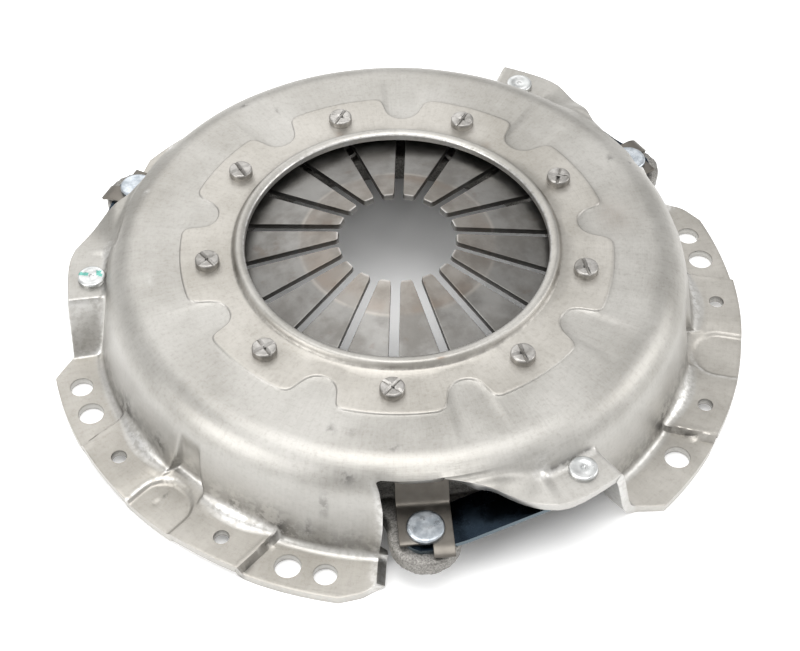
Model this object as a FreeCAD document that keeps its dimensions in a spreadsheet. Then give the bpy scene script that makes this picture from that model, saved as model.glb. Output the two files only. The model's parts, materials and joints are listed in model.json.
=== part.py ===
import FreeCAD, Part
import Sketcher
import math
import os
from types import SimpleNamespace

# Clutch pressure plate, the cover assembly of a diaphragm spring clutch, in millimetres.
# The origin is on the axis in the plane of the faces that bolt to the flywheel, +Z points
# away from the flywheel, and angles turn about Z from X.
# The assembly stands in its free state, as it lies on a bench.

Vector = FreeCAD.Vector
Rotation = FreeCAD.Rotation
Constraint = Sketcher.Constraint

document = FreeCAD.newDocument("ClutchPressurePlate")
sheet = document.addObject("Spreadsheet::Sheet", "Sizes")

# Driving dimensions: alias, number, meaning. Lengths in mm, angles in degrees.
SIZES = [
    ("segment_count", 3, "flange segments, ears and strap sets round the cover"),
    ("first_segment", 90, "angle of the middle of the first flange segment"),
    ("gauge", 3.5, "thickness of the cover's sheet"),
    ("bore_radius", 60.2, "edge of the hole in the cover"),
    ("bead_height", 45.4, "crest of the upturned bead round the hole"),
    ("bead_width", 4.8, "width of the bead"),
    ("crown_height", 41.7, "top of the cover's flat crown"),
    ("crown_bend", 15, "outer radius of the shoulder between crown and wall"),
    ("wall_foot_radius", 121.2, "outer face of the wall at the flange"),
    ("wall_draft", 11.3, "lean of the wall inward"),
    ("foot_bend", 3.5, "hollow radius where the wall meets the flange"),
    ("flange_radius", 140.8, "outer edge of the flange"),
    ("flange_cut_radius", 132.4, "inner end of a flange corner's cut"),
    ("leading_corner", 32.8, "start of the cut at the segment's ear end"),
    ("leading_end", 37.9, "ear end of a segment"),
    ("leading_taper", 0.5, "how far that end leans back at the shoulder"),
    ("trailing_corner", 33.0, "start of the cut at the segment's strap end"),
    ("trailing_end", 36.9, "strap end of a segment"),
    ("panel_start", 4.3, "edge of a raised panel beside the middle seat"),
    ("panel_end", 18.1, "edge of a raised panel beside the bolt seat"),
    ("panel_rise", 2.5, "height of a raised panel over the bolt seats"),
    ("panel_lean", 40, "lean of a raised panel's sides"),
    ("scallop_radius", 9.5, "hollow in the wall over the middle seat"),
    ("scallop_centre", 127.2, "radius at which that hollow's axis stands"),
    ("scallop_height", 28, "top of that hollow"),
    ("scallop_back_height", 21, "top of that hollow's bulge inside the wall"),
    ("scallop_back_spread", 11, "angle across the bulge"),
    ("window_radius", 111, "inner edge of the opening over an ear"),
    ("window_end", 50, "end of that inner edge"),
    ("ogee_radius", 118, "middle of the ogee beside the strap shelf"),
    ("ogee_angle", 57.4, "angle of that middle"),
    ("ogee_hollow", 36, "radius of the ogee's hollow half"),
    ("ogee_round", 64, "radius of the ogee's round half"),
    ("shelf_corner", 69.2, "angle where the ogee ends"),
    ("shelf_top", 29.4, "top of the strap shelf"),
    ("shelf_radius", 131, "outer edge of the strap shelf"),
    ("shelf_bend", 4, "bends beside the strap shelf"),
    ("shelf_start", 48, "where the shelf's sheet starts under the shoulder"),
    ("shelf_lap", 4.5, "angle from the neck's foot back to the end of the flat shelf"),
    ("neck_lean", 13, "lean of the neck from shelf to flange"),
    ("land_rise", 0.7, "height of the lobed land on the crown"),
    ("land_radius", 85.5, "outer edge of the land's lobes"),
    ("notch_radius", 9.3, "half width of the notches between lobes"),
    ("notch_depth", 11.5, "how far a notch runs in from the lobes' edge"),
    ("notch_mouth", 11.6, "half width of a notch past the lobes' edge"),
    ("bolt_circle_radius", 131.7, "circle of all holes in the flange"),
    ("bolt_hole_radius", 4.4, "outer bolt holes"),
    ("bolt_hole_angle", 30, "outer bolt holes, each side of a segment's middle"),
    ("wide_hole_radius", 4.9, "wider holes"),
    ("wide_hole_angle", 23.8, "wider holes, each side of a segment's middle"),
    ("small_hole_radius", 2.85, "small holes in the raised panels"),
    ("small_hole_angle", 12.1, "small holes, each side of a segment's middle"),
    ("station_count", 9, "fulcrum rivets and lobes of the land"),
    ("station_radius", 75, "circle of the fulcrum rivets"),
    ("station_shank_radius", 3.5, "shank of a fulcrum rivet"),
    ("station_head_radius", 5.1, "closed head of a fulcrum rivet"),
    ("station_head_height", 3, "height of that head"),
    ("station_foot_radius", 7.3, "lower head that holds the lower ring"),
    ("station_foot_height", 2.5, "height of the lower head"),
    ("cross_length", 8.6, "length of the cross stamped in the head"),
    ("cross_width", 1.7, "width of that cross"),
    ("cross_depth", 0.9, "depth of that cross"),
    ("wire_radius", 1.8, "wire of the fulcrum rings"),
    ("cone_angle", 11.5, "cone of the free diaphragm spring"),
    ("spring_gauge", 2.4, "thickness of the diaphragm spring"),
    ("spring_radius", 100, "rim of the diaphragm spring"),
    ("tip_radius", 23.2, "circle of the fingertips"),
    ("finger_count", 18, "fingers of the diaphragm spring"),
    ("slot_width", 3.6, "slot between two fingers"),
    ("slot_window_start", 70.5, "inner end of the window at a slot's end"),
    ("slot_window_end", 79.8, "outer end of that window"),
    ("slot_window_width", 11, "width of that window"),
    ("friction_level", 4, "friction face over the flywheel's face"),
    ("plate_bore_radius", 75, "bore of the pressure plate"),
    ("plate_radius", 109.5, "rim of the pressure plate"),
    ("plate_thickness", 13.5, "body of the pressure plate"),
    ("plate_edge", 1, "rounding of the friction face's outer edge"),
    ("rim_drop", 2, "how far the rim's top lies under the body's top"),
    ("ridge_radius", 97.4, "circle on which the spring presses"),
    ("ridge_width", 4.4, "width of the ridge under the spring"),
    ("ridge_flank", 4, "run of each flank of the ridge"),
    ("ridge_gap_width", 8, "width of the gaps in the ridge"),
    ("ridge_gap_count", 12, "gaps in the ridge"),
    ("ear_angle", 46.2, "ear, from the middle of the segment before it"),
    ("ear_radius", 121.6, "circle of the strap rivets and ears"),
    ("ear_half_width", 13.4, "half the width of an ear"),
    ("ear_top", 18, "seat of the straps on the ear"),
    ("ear_thickness", 7.6, "thickness of an ear"),
    ("ear_flare", 10, "hollow radius between ear and rim"),
    ("ear_neck", 3, "from the rim out to where an ear has its full width"),
    ("strap_angle", 75, "strap rivet, from the middle of the segment before it"),
    ("leaf_gauge", 1, "thickness of a strap leaf"),
    ("leaf_count", 2, "leaves in a strap"),
    ("strap_width", 17.6, "width of a strap"),
    ("strap_overhang", 7.4, "strap beyond the shelf rivet"),
    ("strap_tail", 8.6, "strap beyond the ear rivet"),
    ("strap_grip", 13, "flat stretch of a strap from its rivet"),
    ("strap_corner", 8, "corner radius of a strap"),
    ("strap_shank_radius", 4, "shank of the strap and ear rivets"),
    ("cover_head_radius", 5.5, "head of a strap rivet"),
    ("cover_head_height", 2, "height of that head"),
    ("ear_head_radius", 7, "upper head of an ear rivet"),
    ("ear_head_height", 2, "height of that head"),
    ("ear_foot_radius", 6.3, "lower head of an ear rivet"),
    ("clip_gauge", 1.4, "thickness of a retracting clip"),
    ("clip_width", 19.8, "width of a retracting clip"),
    ("clip_end", 128.0, "outer end of a clip"),
    ("clip_lip_radius", 96.2, "inner end of a clip, over the spring's rim"),
    ("clip_reach", 3.4, "clip beyond the spring's rim before it turns down"),
    ("clip_riser_angle", 58, "slope of the clip's riser"),
    ("tab_start", 2.2, "edge of the clip's tab, from the clip's middle"),
    ("tab_bend_radius", 130.5, "where the tab turns down"),
    ("tab_drop_angle", 30, "slope of the tab"),
    ("tab_length", 4, "tab past its bend"),
    ("spring_clearance", 0.3, "spring to the ridge below and to the clip above"),
    ("shank_clearance", 0.3, "strap round an ear rivet"),
    ("ring_clearance", 0.05, "fulcrum rings to the rivet shanks"),
]

for row, (alias, number, meaning) in enumerate(SIZES, start=1):
    sheet.set("A%d" % row, alias.replace("_", " "))
    sheet.set("B%d" % row, str(number))
    sheet.setAlias("B%d" % row, alias)
    sheet.set("C%d" % row, meaning)
document.recompute()


class Value:
    """A number and the sheet formula that gives it."""

    def __init__(self, number, text):
        self.number = float(number)
        self.text = text

    def combine(self, sign, other, flipped=False):
        first, second = (as_value(other), self) if flipped else (self, as_value(other))
        a, b = first.number, second.number
        number = {"+": a + b, "-": a - b, "*": a * b}[sign] if sign != "/" else a / b
        return Value(number, "(%s %s %s)" % (first.text, sign, second.text))

    def __add__(self, other):
        return self.combine("+", other)

    def __radd__(self, other):
        return self.combine("+", other, True)

    def __sub__(self, other):
        return self.combine("-", other)

    def __rsub__(self, other):
        return self.combine("-", other, True)

    def __mul__(self, other):
        return self.combine("*", other)

    def __rmul__(self, other):
        return self.combine("*", other, True)

    def __truediv__(self, other):
        return self.combine("/", other)

    def __rtruediv__(self, other):
        return self.combine("/", other, True)

    def __neg__(self):
        return Value(-self.number, "(0 - %s)" % self.text)


def as_value(thing):
    return thing if isinstance(thing, Value) else Value(thing, repr(thing))


def sine(angle):
    angle = as_value(angle)
    return Value(math.sin(math.radians(angle.number)), "sin(%s)" % angle.text)


def cosine(angle):
    angle = as_value(angle)
    return Value(math.cos(math.radians(angle.number)), "cos(%s)" % angle.text)


def tangent(angle):
    angle = as_value(angle)
    return Value(math.tan(math.radians(angle.number)), "tan(%s)" % angle.text)


S = SimpleNamespace(**{
    alias: Value(sheet.get(alias), "Sizes." + alias) for alias, number, meaning in SIZES
})


# Points in a plane, as pairs of values

def polar(radius, angle):
    return radius * cosine(angle), radius * sine(angle)


def beyond(start, end, times):
    """The point on the line from start through end, times its length from start."""
    return tuple(a + (b - a) * times for a, b in zip(start, end))


def offset_corner(point, distance, before, after):
    """The corner of a path at point, shifted sideways; before and after are its slopes."""
    middle = (before + after) / 2
    spread = cosine((after - before) / 2)
    return point[0] - distance * sine(middle) / spread, point[1] + distance * cosine(middle) / spread


# Sketches

def plane_of(body, role):
    return [item for item in body.Origin.OriginFeatures if item.Role == role][0]


def new_body(name):
    body = document.addObject("PartDesign::Body", name)
    body.Label = name
    return body


def plan_sketch(body, name, level=0, turn=None):
    """A sketch seen from above, at a level, turned about the axis."""
    sketch = body.newObject("Sketcher::SketchObject", name)
    sketch.AttachmentSupport = [(plane_of(body, "XY_Plane"), "")]
    sketch.MapMode = "FlatFace"
    level = as_value(level)
    turned = Rotation(Vector(0, 0, 1), turn.number if turn else 0)
    sketch.AttachmentOffset = FreeCAD.Placement(Vector(0, 0, level.number), turned)
    sketch.setExpression("AttachmentOffset.Base.z", level.text)
    if turn:
        sketch.setExpression("AttachmentOffset.Rotation.Angle", turn.text)
    return sketch


def side_sketch(body, name, turn=None, centre=None):
    """An upright sketch: x runs outward and y up. With a turn, it faces outward at that angle."""
    sketch = body.newObject("Sketcher::SketchObject", name)
    sketch.AttachmentSupport = [(plane_of(body, "XZ_Plane"), "")]
    sketch.MapMode = "FlatFace"
    if turn:
        along, across = polar(centre, turn)
        facing = turn + 90
        base = Vector(along.number, 0, -across.number)
        sketch.AttachmentOffset = FreeCAD.Placement(base, Rotation(Vector(0, 1, 0), facing.number))
        sketch.setExpression("AttachmentOffset.Base.x", along.text)
        sketch.setExpression("AttachmentOffset.Base.z", (-across).text)
        sketch.setExpression("AttachmentOffset.Rotation.Angle", facing.text)
    return sketch


def bind(sketch, constraints):
    """Adds constraints; one that comes with a value is bound to its formula."""
    first = sketch.ConstraintCount
    sketch.addConstraint([item[0] for item in constraints])
    for index, item in enumerate(constraints, start=first):
        if item[1] is not None:
            sketch.setExpression("Constraints[%d]" % index, item[1].text)


def place_point(geometry, position, x, y):
    x, y = as_value(x), as_value(y)
    return [
        (Constraint("DistanceX", -1, 1, geometry, position, x.number), x),
        (Constraint("DistanceY", -1, 1, geometry, position, y.number), y),
    ]


def circle(sketch, x, y, radius):
    x, y, radius = as_value(x), as_value(y), as_value(radius)
    shape = Part.Circle(Vector(x.number, y.number, 0), Vector(0, 0, 1), radius.number)
    index = sketch.addGeometry(shape, False)
    bind(sketch, place_point(index, 3, x, y) + [(Constraint("Radius", index, radius.number), radius)])


def flat(point):
    return Vector(as_value(point[0]).number, as_value(point[1]).number, 0)


def rounded_ends(before, corner, after, radius):
    """Where an arc of this radius touches the two sides of a corner, and its centre."""
    back = (before - corner).normalize()
    ahead = (after - corner).normalize()
    half = back.getAngle(ahead) / 2
    reach = radius / math.tan(half)
    centre = corner + (back + ahead).normalize() * (radius / math.sin(half))
    return corner + back * reach, corner + ahead * reach, centre


def arc_between(start, end, radius):
    """The shorter arc from start to end; it turns left where radius is positive."""
    chord = end - start
    rise = math.sqrt(max(radius * radius - chord.Length ** 2 / 4, 0))
    left = Vector(-chord.y, chord.x, 0).normalize()
    return (start + end) / 2 + left * math.copysign(rise, radius)


def add_arc(sketch, centre, start, end, turns_left):
    """Adds an arc and gives its index and the positions of its start and end."""
    first, last = (start, end) if turns_left else (end, start)
    angles = [math.atan2((point - centre).y, (point - centre).x) for point in (first, last)]
    shape = Part.Circle(centre, Vector(0, 0, 1), (start - centre).Length)
    index = sketch.addGeometry(Part.ArcOfCircle(shape, angles[0], angles[1]), False)
    return (index, 1, 2) if turns_left else (index, 2, 1)


def outline(sketch, corners):
    """A closed outline. A corner is (x, y), or (x, y, radius) where it is rounded, or
    (x, y, None, radius) where an arc leads on to the next one, positive if it turns left."""
    count = len(corners)
    spots = [flat(corner) for corner in corners]
    rounds = [corner[2] if len(corner) > 2 and corner[2] is not None else None for corner in corners]
    bends = [corner[3] if len(corner) > 3 else None for corner in corners]
    touches = []
    for index in range(count):
        if rounds[index] is None:
            touches.append((spots[index], spots[index], None))
        else:
            touches.append(rounded_ends(spots[index - 1], spots[index], spots[(index + 1) % count],
                                        as_value(rounds[index]).number))
    sides = []
    constraints = []
    for index in range(count):
        start, end = touches[index][1], touches[(index + 1) % count][0]
        if bends[index] is None:
            sides.append((sketch.addGeometry(Part.LineSegment(start, end), False), 1, 2))
        else:
            bend = as_value(bends[index])
            centre = arc_between(start, end, bend.number)
            sides.append(add_arc(sketch, centre, start, end, bend.number > 0))
            size = bend if bend.number > 0 else -bend
            constraints.append((Constraint("Radius", sides[-1][0], size.number), size))
    for index in range(count):
        last, following = sides[index - 1], sides[index]
        x, y = corners[index][0], corners[index][1]
        if rounds[index] is None:
            constraints.append((Constraint("Coincident", last[0], last[2], following[0], following[1]), None))
            constraints += place_point(following[0], following[1], x, y)
            continue
        radius = as_value(rounds[index])
        start, end, centre = touches[index]
        turn = (spots[index] - spots[index - 1]).cross(spots[(index + 1) % count] - spots[index])
        arc = add_arc(sketch, centre, start, end, turn.z > 0)
        point = sketch.addGeometry(Part.Point(spots[index]), True)
        constraints += [
            (Constraint("Tangent", last[0], last[2], arc[0], arc[1]), None),
            (Constraint("Tangent", arc[0], arc[2], following[0], following[1]), None),
            (Constraint("Radius", arc[0], radius.number), radius),
            (Constraint("PointOnObject", point, 1, last[0]), None),
            (Constraint("PointOnObject", point, 1, following[0]), None),
        ]
        constraints += place_point(point, 1, x, y)
    bind(sketch, constraints)


# Features

def feature(body, kind, name, sketch):
    item = body.newObject("PartDesign::" + kind, name)
    item.Profile = sketch
    sketch.Visibility = False
    return item


def revolve(body, name, sketch, kind="Revolution"):
    item = feature(body, kind, name, sketch)
    item.ReferenceAxis = (sketch, ["V_Axis"])
    item.Angle = 360
    return item


def extrude(body, name, sketch, length, kind="Pad", both_sides=False, reverse=False):
    item = feature(body, kind, name, sketch)
    length = as_value(length)
    item.Length = length.number
    item.setExpression("Length", length.text)
    item.Reversed = reverse
    if both_sides:
        item.SideType = "Symmetric"
    return item


def cut_through(body, name, sketch):
    item = feature(body, "Pocket", name, sketch)
    item.Type = "ThroughAll"
    item.SideType = "Symmetric"
    return item


def round_pattern(body, name, originals, count):
    item = body.newObject("PartDesign::PolarPattern", name)
    item.Originals = originals
    item.Axis = (plane_of(body, "Z_Axis"), [""])
    item.Angle = 360
    item.Occurrences = round(count.number)
    item.setExpression("Occurrences", count.text)
    body.Tip = item
    return item


def put(item, x=0, y=0, z=0, turn=None):
    """Sets an object's place, turned about Z, from values."""
    x, y, z = as_value(x), as_value(y), as_value(z)
    turned = Rotation(Vector(0, 0, 1), turn.number if turn else 0)
    item.Placement = FreeCAD.Placement(Vector(x.number, y.number, z.number), turned)
    for axis, value in (("x", x), ("y", y), ("z", z)):
        item.setExpression("Placement.Base." + axis, value.text)
    if turn:
        item.setExpression("Placement.Rotation.Angle", turn.text)


# Counts, levels and lines that several pieces share

segment_numbers = range(round(S.segment_count.number))
station_numbers = range(round(S.station_count.number))
segment_pitch = 360 / S.segment_count
crown_underside = S.crown_height - S.gauge
shelf_underside = S.shelf_top - S.gauge
ring_radius = S.station_radius + S.station_shank_radius + S.wire_radius + S.ring_clearance
upper_ring_level = crown_underside - S.wire_radius
ring_drop = (S.wire_radius + S.spring_gauge / 2) / cosine(S.cone_angle)
pivot_level = upper_ring_level - ring_drop
lower_ring_level = pivot_level - ring_drop
land_top = S.crown_height + S.land_rise
strap_top = S.ear_top + S.leaf_gauge * S.leaf_count
plate_top = S.friction_level + S.plate_thickness
clear_radius = S.flange_radius + 10 * S.gauge


def wall_at(level):
    """Radius of the wall's outer face."""
    return S.wall_foot_radius + (S.gauge - level) * tangent(S.wall_draft)


def inner_wall_at(level):
    return wall_at(level) - S.gauge / cosine(S.wall_draft)


def spring_middle(radius):
    """Height of the middle of the spring's sheet."""
    return pivot_level + (ring_radius - radius) * tangent(S.cone_angle)


def spring_face(radius, side):
    """Height of the spring's upper (1) or lower (-1) face."""
    return spring_middle(radius) + side * S.spring_gauge / 2 / cosine(S.cone_angle)


# Cover, a pressed sheet

def cover_form(body):
    """The outside of the pressing, all round: bead, crown, shoulder, wall and flange."""
    core_radius = S.window_radius - 2 * S.crown_bend
    bead_foot = S.bore_radius + S.bead_width
    sketch = side_sketch(body, "cover_form_sketch")
    outline(sketch, [
        (S.bore_radius, S.bead_height - S.gauge),
        (bead_foot, crown_underside, 1.2 * S.gauge),
        (core_radius, crown_underside),
        (core_radius, 0),
        (S.flange_radius + S.gauge, 0),
        (S.flange_radius + S.gauge, S.gauge),
        (S.wall_foot_radius, S.gauge, S.foot_bend),
        (wall_at(S.crown_height), S.crown_height, S.crown_bend),
        (bead_foot, S.crown_height, S.bead_width / 4),
        (bead_foot - S.bead_width / 2, S.bead_height, S.bead_width / 4),
        (S.bore_radius, S.bead_height),
    ])
    return revolve(body, "cover_form", sketch)


def cover_panels(body):
    """The raised panels between the seats of a segment."""
    pads = []
    for side in (-1, 1):
        start = S.first_segment + side * S.panel_start
        end = S.first_segment + side * S.panel_end
        first, last = (start, end) if side > 0 else (end, start)
        sketch = plan_sketch(body, "panel_sketch_%d" % len(pads), S.gauge)
        inner = inner_wall_at(S.gauge) - S.gauge
        outer = S.flange_radius + 2 * S.gauge
        outline(sketch, [
            polar(inner, first), polar(outer, first), polar(outer, last), polar(inner, last),
        ])
        pads.append(extrude(body, "panel_%d" % len(pads), sketch, S.panel_rise))
        pads[-1].TaperAngle = -S.panel_lean.number
        pads[-1].setExpression("TaperAngle", (-S.panel_lean).text)
    return round_pattern(body, "panels", pads, S.segment_count)


def segment_corners():
    """The cut line at an ear and the two cuts at the ends of neighbouring segments."""
    window = polar(S.window_radius, S.first_segment + S.leading_end - S.leading_taper)
    leading = polar(S.flange_cut_radius, S.first_segment + S.leading_end)
    leading_out = polar(S.flange_radius, S.first_segment + S.leading_corner)
    following = S.first_segment + segment_pitch
    trailing = polar(S.flange_cut_radius, following - S.trailing_end)
    trailing_out = polar(S.flange_radius, following - S.trailing_corner)
    return window, leading, leading_out, trailing, trailing_out


def cover_gap(body):
    """Clears wall and flange between two segments, up to the strap shelf's underside."""
    window, leading, leading_out, trailing, trailing_out = segment_corners()
    following = S.first_segment + segment_pitch
    sketch = plan_sketch(body, "gap_sketch", shelf_underside)
    outline(sketch, [
        beyond(leading, window, 2),
        leading,
        beyond(leading, leading_out, 2),
        polar(clear_radius, S.first_segment + S.ear_angle),
        polar(clear_radius, S.first_segment + S.strap_angle),
        beyond(trailing, trailing_out, 2),
        trailing,
        polar(inner_wall_at(shelf_underside) - 3 * S.gauge, following - S.trailing_end),
    ])
    return extrude(body, "gap", sketch, shelf_underside + S.gauge, "Pocket")


def cover_shelf(body):
    """The shelf that carries a strap, and the neck that folds down to the next segment."""
    inner = inner_wall_at(S.shelf_top) - S.gauge
    neck_angle = S.first_segment + segment_pitch - S.trailing_end
    start = S.first_segment + S.shelf_start
    end = neck_angle - S.shelf_lap
    sketch = plan_sketch(body, "shelf_sketch", shelf_underside)
    outline(sketch, [
        polar(inner, start),
        polar(S.shelf_radius, start) + (None, S.shelf_radius),
        polar(S.shelf_radius, end),
        polar(inner, end),
    ])
    shelf = extrude(body, "shelf", sketch, S.gauge)

    fall = S.shelf_top - S.gauge
    slope = S.neck_lean - 90
    level = as_value(0)
    fold = (-fall * tangent(S.neck_lean), S.shelf_top)
    foot = (as_value(0), S.gauge)
    below_fold = offset_corner(fold, -S.gauge, level, slope)
    below_foot = offset_corner(foot, -S.gauge, slope, level)
    neck_sketch = side_sketch(body, "neck_sketch", neck_angle, inner)
    outline(neck_sketch, [
        (fold[0] - 2 * S.shelf_bend, fold[1]),
        (fold[0] - 2 * S.shelf_bend, shelf_underside),
        (below_fold[0], below_fold[1], S.shelf_bend / 4),
        (below_foot[0], below_foot[1], S.shelf_bend),
        (foot[0] + 2 * S.shelf_bend, 0),
        (foot[0] + 2 * S.shelf_bend, S.gauge),
        (foot[0], foot[1], S.shelf_bend / 4),
        (fold[0], fold[1], S.shelf_bend),
    ])
    neck = extrude(body, "neck", neck_sketch, S.shelf_radius - inner)
    return [shelf, neck]


def cover_window(body):
    """The opening over an ear: a cut line, the edge on the shoulder and an ogee to the shelf."""
    window, leading, *rest = segment_corners()
    base = S.first_segment
    sketch = plan_sketch(body, "window_sketch", S.bead_height + S.gauge)
    outline(sketch, [
        window + (None, S.window_radius),
        polar(S.window_radius, base + S.window_end) + (None, S.ogee_hollow * -1),
        polar(S.ogee_radius, base + S.ogee_angle) + (None, S.ogee_round),
        polar(S.shelf_radius, base + S.shelf_corner),
        polar(clear_radius, base + S.shelf_corner),
        beyond(window, leading, 3),
    ])
    depth = S.bead_height + S.gauge - (shelf_underside - S.gauge)
    return extrude(body, "window", sketch, depth, "Pocket")


def cover_hollow(body):
    """The inside of the pressing."""
    core_radius = S.window_radius - 2 * S.crown_bend
    reach = S.wall_foot_radius + 2 * S.foot_bend
    sketch = side_sketch(body, "hollow_sketch")
    outline(sketch, [
        (core_radius - S.gauge, -S.gauge),
        (reach, -S.gauge),
        (reach, 0),
        (inner_wall_at(0), 0, S.foot_bend + S.gauge),
        (inner_wall_at(crown_underside), crown_underside, S.crown_bend - S.gauge),
        (core_radius - S.gauge, crown_underside),
    ])
    return revolve(body, "hollow", sketch, "Groove")


def cover_panel_undersides(body):
    """The undersides of the raised panels, pressed up by the same height."""
    pockets = []
    shift = S.gauge * tangent(S.panel_lean / 2) / S.bolt_circle_radius * (180 / math.pi)
    for side in (-1, 1):
        start = S.first_segment + side * (S.panel_start + shift)
        end = S.first_segment + side * (S.panel_end - shift)
        first, last = (start, end) if side > 0 else (end, start)
        sketch = plan_sketch(body, "underside_sketch_%d" % len(pockets), 0)
        inner = inner_wall_at(0) - S.foot_bend - S.gauge
        outer = S.flange_radius + 3 * S.gauge
        outline(sketch, [
            polar(inner, first), polar(outer, first), polar(outer, last), polar(inner, last),
        ])
        pockets.append(extrude(body, "underside_%d" % len(pockets), sketch, S.panel_rise, "Pocket",
                               reverse=True))
        pockets[-1].TaperAngle = -S.panel_lean.number
        pockets[-1].setExpression("TaperAngle", (-S.panel_lean).text)
    return round_pattern(body, "undersides", pockets, S.segment_count)


def cover_trim(body):
    """Trims the flange to its round edge."""
    sketch = plan_sketch(body, "trim_sketch", 0)
    circle(sketch, 0, 0, S.flange_radius)
    circle(sketch, 0, 0, clear_radius)
    return cut_through(body, "trim", sketch)


def cover_scallops(body):
    """The hollow pressed into the wall over each middle seat."""
    x, y = polar(S.scallop_centre, S.first_segment)
    sketch = plan_sketch(body, "scallop_sketch", S.scallop_height)
    circle(sketch, x, y, S.scallop_radius)
    scallop = extrude(body, "scallop", sketch, S.scallop_height - S.gauge, "Pocket")
    return round_pattern(body, "scallops", [scallop], S.segment_count)


def cover_scallop_back(body):
    """The bulge inside the wall behind each scallop, so that the sheet keeps its thickness."""
    inner = S.scallop_centre - S.scallop_radius - S.gauge
    top = S.scallop_back_height
    sketch = side_sketch(body, "scallop_back_sketch", S.first_segment - 90, 0)
    outline(sketch, [
        (inner, 0),
        (S.wall_foot_radius + S.foot_bend, 0),
        (S.wall_foot_radius, S.gauge / 2),
        (wall_at(top) - S.gauge / 2, top),
        (inner, top),
    ])
    back = revolve(body, "scallop_back", sketch)
    back.Angle = S.scallop_back_spread.number
    back.setExpression("Angle", S.scallop_back_spread.text)
    back.Midplane = True
    return back


def cover_land(body):
    """The lobed land round the fulcrum rivets."""
    inner = S.bore_radius + S.bead_width
    sketch = plan_sketch(body, "land_sketch", S.crown_height)
    circle(sketch, 0, 0, S.land_radius)
    circle(sketch, 0, 0, inner)
    extrude(body, "land", sketch, S.land_rise)
    middle = S.first_segment + 180 / S.station_count
    notch_sketch = plan_sketch(body, "notch_sketch", land_top, middle)
    floor = S.land_radius - S.notch_depth
    centre = floor + S.notch_radius
    outer = S.land_radius + S.notch_radius
    outline(notch_sketch, [
        (floor, 0, None, S.notch_radius),
        (centre, -S.notch_radius),
        (outer, -S.notch_mouth),
        (outer, S.notch_mouth),
        (centre, S.notch_radius, None, S.notch_radius),
    ])
    notch = extrude(body, "notch", notch_sketch, S.land_rise, "Pocket")
    return round_pattern(body, "notches", [notch], S.station_count)


def cover_holes(body):
    """Bolt holes, rivet holes and the small holes in the panels."""
    base = S.first_segment
    sketch = plan_sketch(body, "hole_sketch", 0)
    for side in (-1, 1):
        circle(sketch, *polar(S.bolt_circle_radius, base + side * S.wide_hole_angle), S.wide_hole_radius)
        circle(sketch, *polar(S.bolt_circle_radius, base + side * S.small_hole_angle), S.small_hole_radius)
    circle(sketch, *polar(S.ear_radius, base + S.strap_angle), S.strap_shank_radius)
    holes = cut_through(body, "hole", sketch)
    round_pattern(body, "holes", [holes], S.segment_count)
    # The outer bolt holes: both ends of each segment but one, which has none at its strap end
    bolt_sketch = plan_sketch(body, "bolt_hole_sketch", 0)
    last = segment_numbers[-1]
    for segment in segment_numbers:
        middle = base + segment * segment_pitch
        circle(bolt_sketch, *polar(S.bolt_circle_radius, middle + S.bolt_hole_angle), S.bolt_hole_radius)
        if segment != last:
            circle(bolt_sketch, *polar(S.bolt_circle_radius, middle - S.bolt_hole_angle), S.bolt_hole_radius)
    cut_through(body, "bolt_holes", bolt_sketch)
    station_sketch = plan_sketch(body, "station_sketch", 0)
    circle(station_sketch, *polar(S.station_radius, base), S.station_shank_radius)
    station = cut_through(body, "station_hole", station_sketch)
    return round_pattern(body, "station_holes", [station], S.station_count)


def make_cover():
    body = new_body("cover")
    cover_form(body)
    cover_panels(body)
    gap = cover_gap(body)
    round_pattern(body, "gaps", [gap], S.segment_count)
    round_pattern(body, "shelves", cover_shelf(body), S.segment_count)
    round_pattern(body, "windows", [cover_window(body)], S.segment_count)
    cover_hollow(body)
    cover_panel_undersides(body)
    cover_trim(body)
    round_pattern(body, "scallop_backs", [cover_scallop_back(body)], S.segment_count)
    cover_scallops(body)
    cover_land(body)
    cover_holes(body)
    return body


# Diaphragm spring and its fulcrum rings

def make_spring():
    body = new_body("diaphragm_spring")
    sketch = side_sketch(body, "spring_sketch")
    outline(sketch, [
        (S.tip_radius, spring_face(S.tip_radius, -1)),
        (S.spring_radius, spring_face(S.spring_radius, -1)),
        (S.spring_radius, spring_face(S.spring_radius, 1)),
        (S.tip_radius, spring_face(S.tip_radius, 1)),
    ])
    revolve(body, "spring_cone", sketch)
    half_slot = S.slot_width / 2
    half_window = S.slot_window_width / 2
    neck = S.slot_window_start - (half_window - half_slot)
    slot_sketch = plan_sketch(body, "slot_sketch", 0, S.first_segment)
    outline(slot_sketch, [
        (S.tip_radius / 2, -half_slot),
        (neck, -half_slot),
        (S.slot_window_start, -half_window, half_slot),
        (S.slot_window_end, -half_window, half_slot),
        (S.slot_window_end, half_window, half_slot),
        (S.slot_window_start, half_window, half_slot),
        (neck, half_slot),
        (S.tip_radius / 2, half_slot),
    ])
    slot = cut_through(body, "slot", slot_sketch)
    round_pattern(body, "slots", [slot], S.finger_count)
    return body


def make_ring(name, level):
    ring = document.addObject("Part::Torus", name)
    ring.Label = name
    ring.setExpression("Radius1", ring_radius.text)
    ring.setExpression("Radius2", S.wire_radius.text)
    put(ring, z=level)
    return ring


# Rivets

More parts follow.
